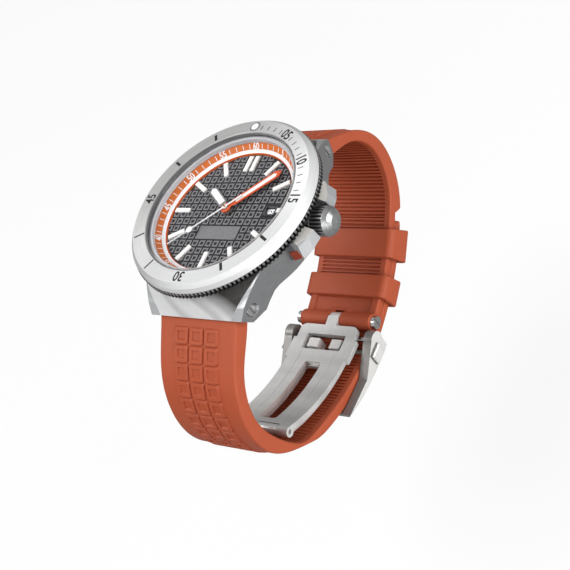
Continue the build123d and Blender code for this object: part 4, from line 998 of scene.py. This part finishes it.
def build_keeper(name, start_deg, stop_deg, outer_r):
    """Rounded rubber loop round the strap: a soft-edged band swept along a rounded rectangle."""
    middle_r, half_r = (outer_r + KEEPER_INNER_R) / 2, (outer_r - KEEPER_INNER_R) / 2
    turn = (start_deg + stop_deg) / 2
    reach = radians(stop_deg - start_deg) / 2 * middle_r
    # the band's section is measured across its wall and along the strap
    band = rounded_square(KEEPER_WALL / 2, reach, KEEPER_SOFT, 0.0, steps=4)
    path = list(corner_turns(6))
    side, rise = KEEPER_HALF - KEEPER_WALL / 2 - KEEPER_BEND, half_r - KEEPER_WALL / 2 - KEEPER_BEND
    points = []
    for sx, sy, a in path:
        x, r = sx * side + KEEPER_BEND * cos(a), sy * rise + KEEPER_BEND * sin(a)
        for across, along, _ in band:
            radius = middle_r + r + sin(a) * across
            angle = radians(turn) + along / middle_r
            points.append((x + cos(a) * across, CLASP_Y + radius * sin(angle),
                           CLASP_Z - radius * cos(angle)))
    count, steps = len(band), len(path)
    faces = []
    for i in range(steps):
        here, after = i * count, (i + 1) % steps * count
        for k in range(count):
            j = (k + 1) % count
            faces.append((here + k, after + k, after + j, here + j))
    piece = new_piece(name + "_rubber", points, faces, MATERIALS["rubber"], slot="rubber_orange",
                      smooth_deg=50)
    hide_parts(name)
    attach(piece, "root")


build_keeper("keeper_1", 25.2, 33.2, 55.6)
build_keeper("keeper_2", 13.8, 20.2, 54.9)


# ======== stage ========
OPEN_REACH = 48.0                     # room for the opened clasp and strap tail below the closed watch
FLOOR_GAP = 0.02
FLOOR_HALF, FLOOR_LINES = 1.2, 12     # half the floor's width in metres, and its grid lines
ROOM_LIGHT = 0.62


def make_stage():
    """Pale floor that looks evenly white to the camera, and grey to the metal that reflects it."""
    floor_z = CAD_BOX[0].z - OPEN_REACH * MM
    grid = np.linspace(-FLOOR_HALF, FLOOR_HALF, FLOOR_LINES)
    points = [(x / MM, y / MM, floor_z / MM - FLOOR_GAP) for x in grid for y in grid]
    corners = [i * FLOOR_LINES + j for i in range(FLOOR_LINES - 1) for j in range(FLOOR_LINES - 1)]
    faces = [(c, c + FLOOR_LINES, c + FLOOR_LINES + 1, c + 1) for c in corners]
    s = Shader("floor_pale")
    path = s.add("LightPath")
    glow = s.add("Emission", {"Color": rgb("#fbfbfb"), "Strength": 1.0})
    lit = s.add("BsdfDiffuse", {"Color": rgb("#f2f2f2")})
    grey = s.add("BsdfDiffuse", {"Color": rgb("#9a9a9a")})
    seen = s.add("MixShader", {0: 0.15, 1: glow.outputs[0], 2: lit.outputs[0]})
    both = s.add("MixShader", {0: path.outputs["Is Camera Ray"], 1: grey.outputs[0], 2: seen.outputs[0]})
    new_piece("floor", points, faces, s.show(both))


def make_world():
    """Room lighter above than at the horizon, for metal to reflect; plain white to the camera."""
    world = bpy.data.worlds.new("studio")
    bpy.context.scene.world = world
    world.use_nodes = True
    nodes, link = world.node_tree.nodes, world.node_tree.links.new
    nodes.clear()
    kinds = ("OutputWorld", "TexCoord", "SeparateXYZ", "Math", "ValToRGB", "Background", "Background",
             "LightPath", "MixShader")
    made = [nodes.new("ShaderNode" + kind) for kind in kinds]
    out, coords, split, scale, ramp, light, backdrop, path, both = made
    scale.operation = "MULTIPLY_ADD"
    scale.inputs[1].default_value, scale.inputs[2].default_value = 0.5, 0.5
    elements = ramp.color_ramp.elements
    elements[0].position, elements[0].color = 0.0, (0.4, 0.4, 0.4, 1)
    elements[1].position, elements[1].color = 1.0, (0.9, 0.9, 0.9, 1)
    for place, grey in ((0.5, 0.3), (0.62, 0.5), (0.8, 0.95)):
        elements.new(place).color = (grey, grey, grey, 1)
    light.inputs[1].default_value = ROOM_LIGHT
    backdrop.inputs[0].default_value = rgb("#fbfbfb")
    link(coords.outputs["Generated"], split.inputs[0])
    link(split.outputs[2], scale.inputs[0])
    link(scale.outputs[0], ramp.inputs[0])
    link(ramp.outputs[0], light.inputs[0])
    link(path.outputs["Is Camera Ray"], both.inputs[0])
    link(light.outputs[0], both.inputs[1])
    link(backdrop.outputs[0], both.inputs[2])
    link(both.outputs[0], out.inputs[0])


def softbox(name, at, size, watts, target=(0, 0, -0.01)):
    lamp = bpy.data.lights.new(name, "AREA")
    lamp.shape, lamp.size, lamp.size_y, lamp.energy = "RECTANGLE", size[0], size[1], watts
    holder = bpy.data.objects.new(name, lamp)
    holder.location = at
    holder.rotation_mode = "QUATERNION"
    holder.rotation_quaternion = (Vector(target) - Vector(at)).to_track_quat("-Z", "Y")
    bpy.context.scene.collection.objects.link(holder)


def make_camera():
    camera = bpy.data.cameras.new("camera")
    camera.lens, camera.sensor_width = CAMERA_LENS, 36.0
    camera.clip_start, camera.clip_end = 0.01, 10
    holder = bpy.data.objects.new("camera", camera)
    azimuth, elevation = radians(CAMERA_AZIMUTH), radians(CAMERA_ELEVATION)
    back = Vector((sin(azimuth) * cos(elevation), -cos(azimuth) * cos(elevation), sin(elevation)))
    facing = (-back).to_track_quat("-Z", "Y").to_matrix().to_4x4()
    roll = Matrix.Rotation(radians(CAMERA_ROLL), 4, "Z")
    holder.matrix_world = Matrix.Translation(Vector(CAMERA_AT) * MM) @ facing @ roll
    bpy.context.scene.collection.objects.link(holder)
    bpy.context.scene.camera = holder


make_stage()
make_world()
softbox("key", (-0.25, -0.15, 0.55), (0.35, 0.35), 2.9)
softbox("front", (0.35, -0.45, 0.25), (0.3, 0.3), 0.8)
softbox("crown_side", (0.5, 0.1, 0.1), (0.25, 0.3), 1.9)
softbox("low_fill", (0.42, -0.28, -0.01), (0.3, 0.12), 0.9, target=(0, -0.01, -0.035))
make_camera()
bpy.context.scene.view_settings.view_transform = "Standard"
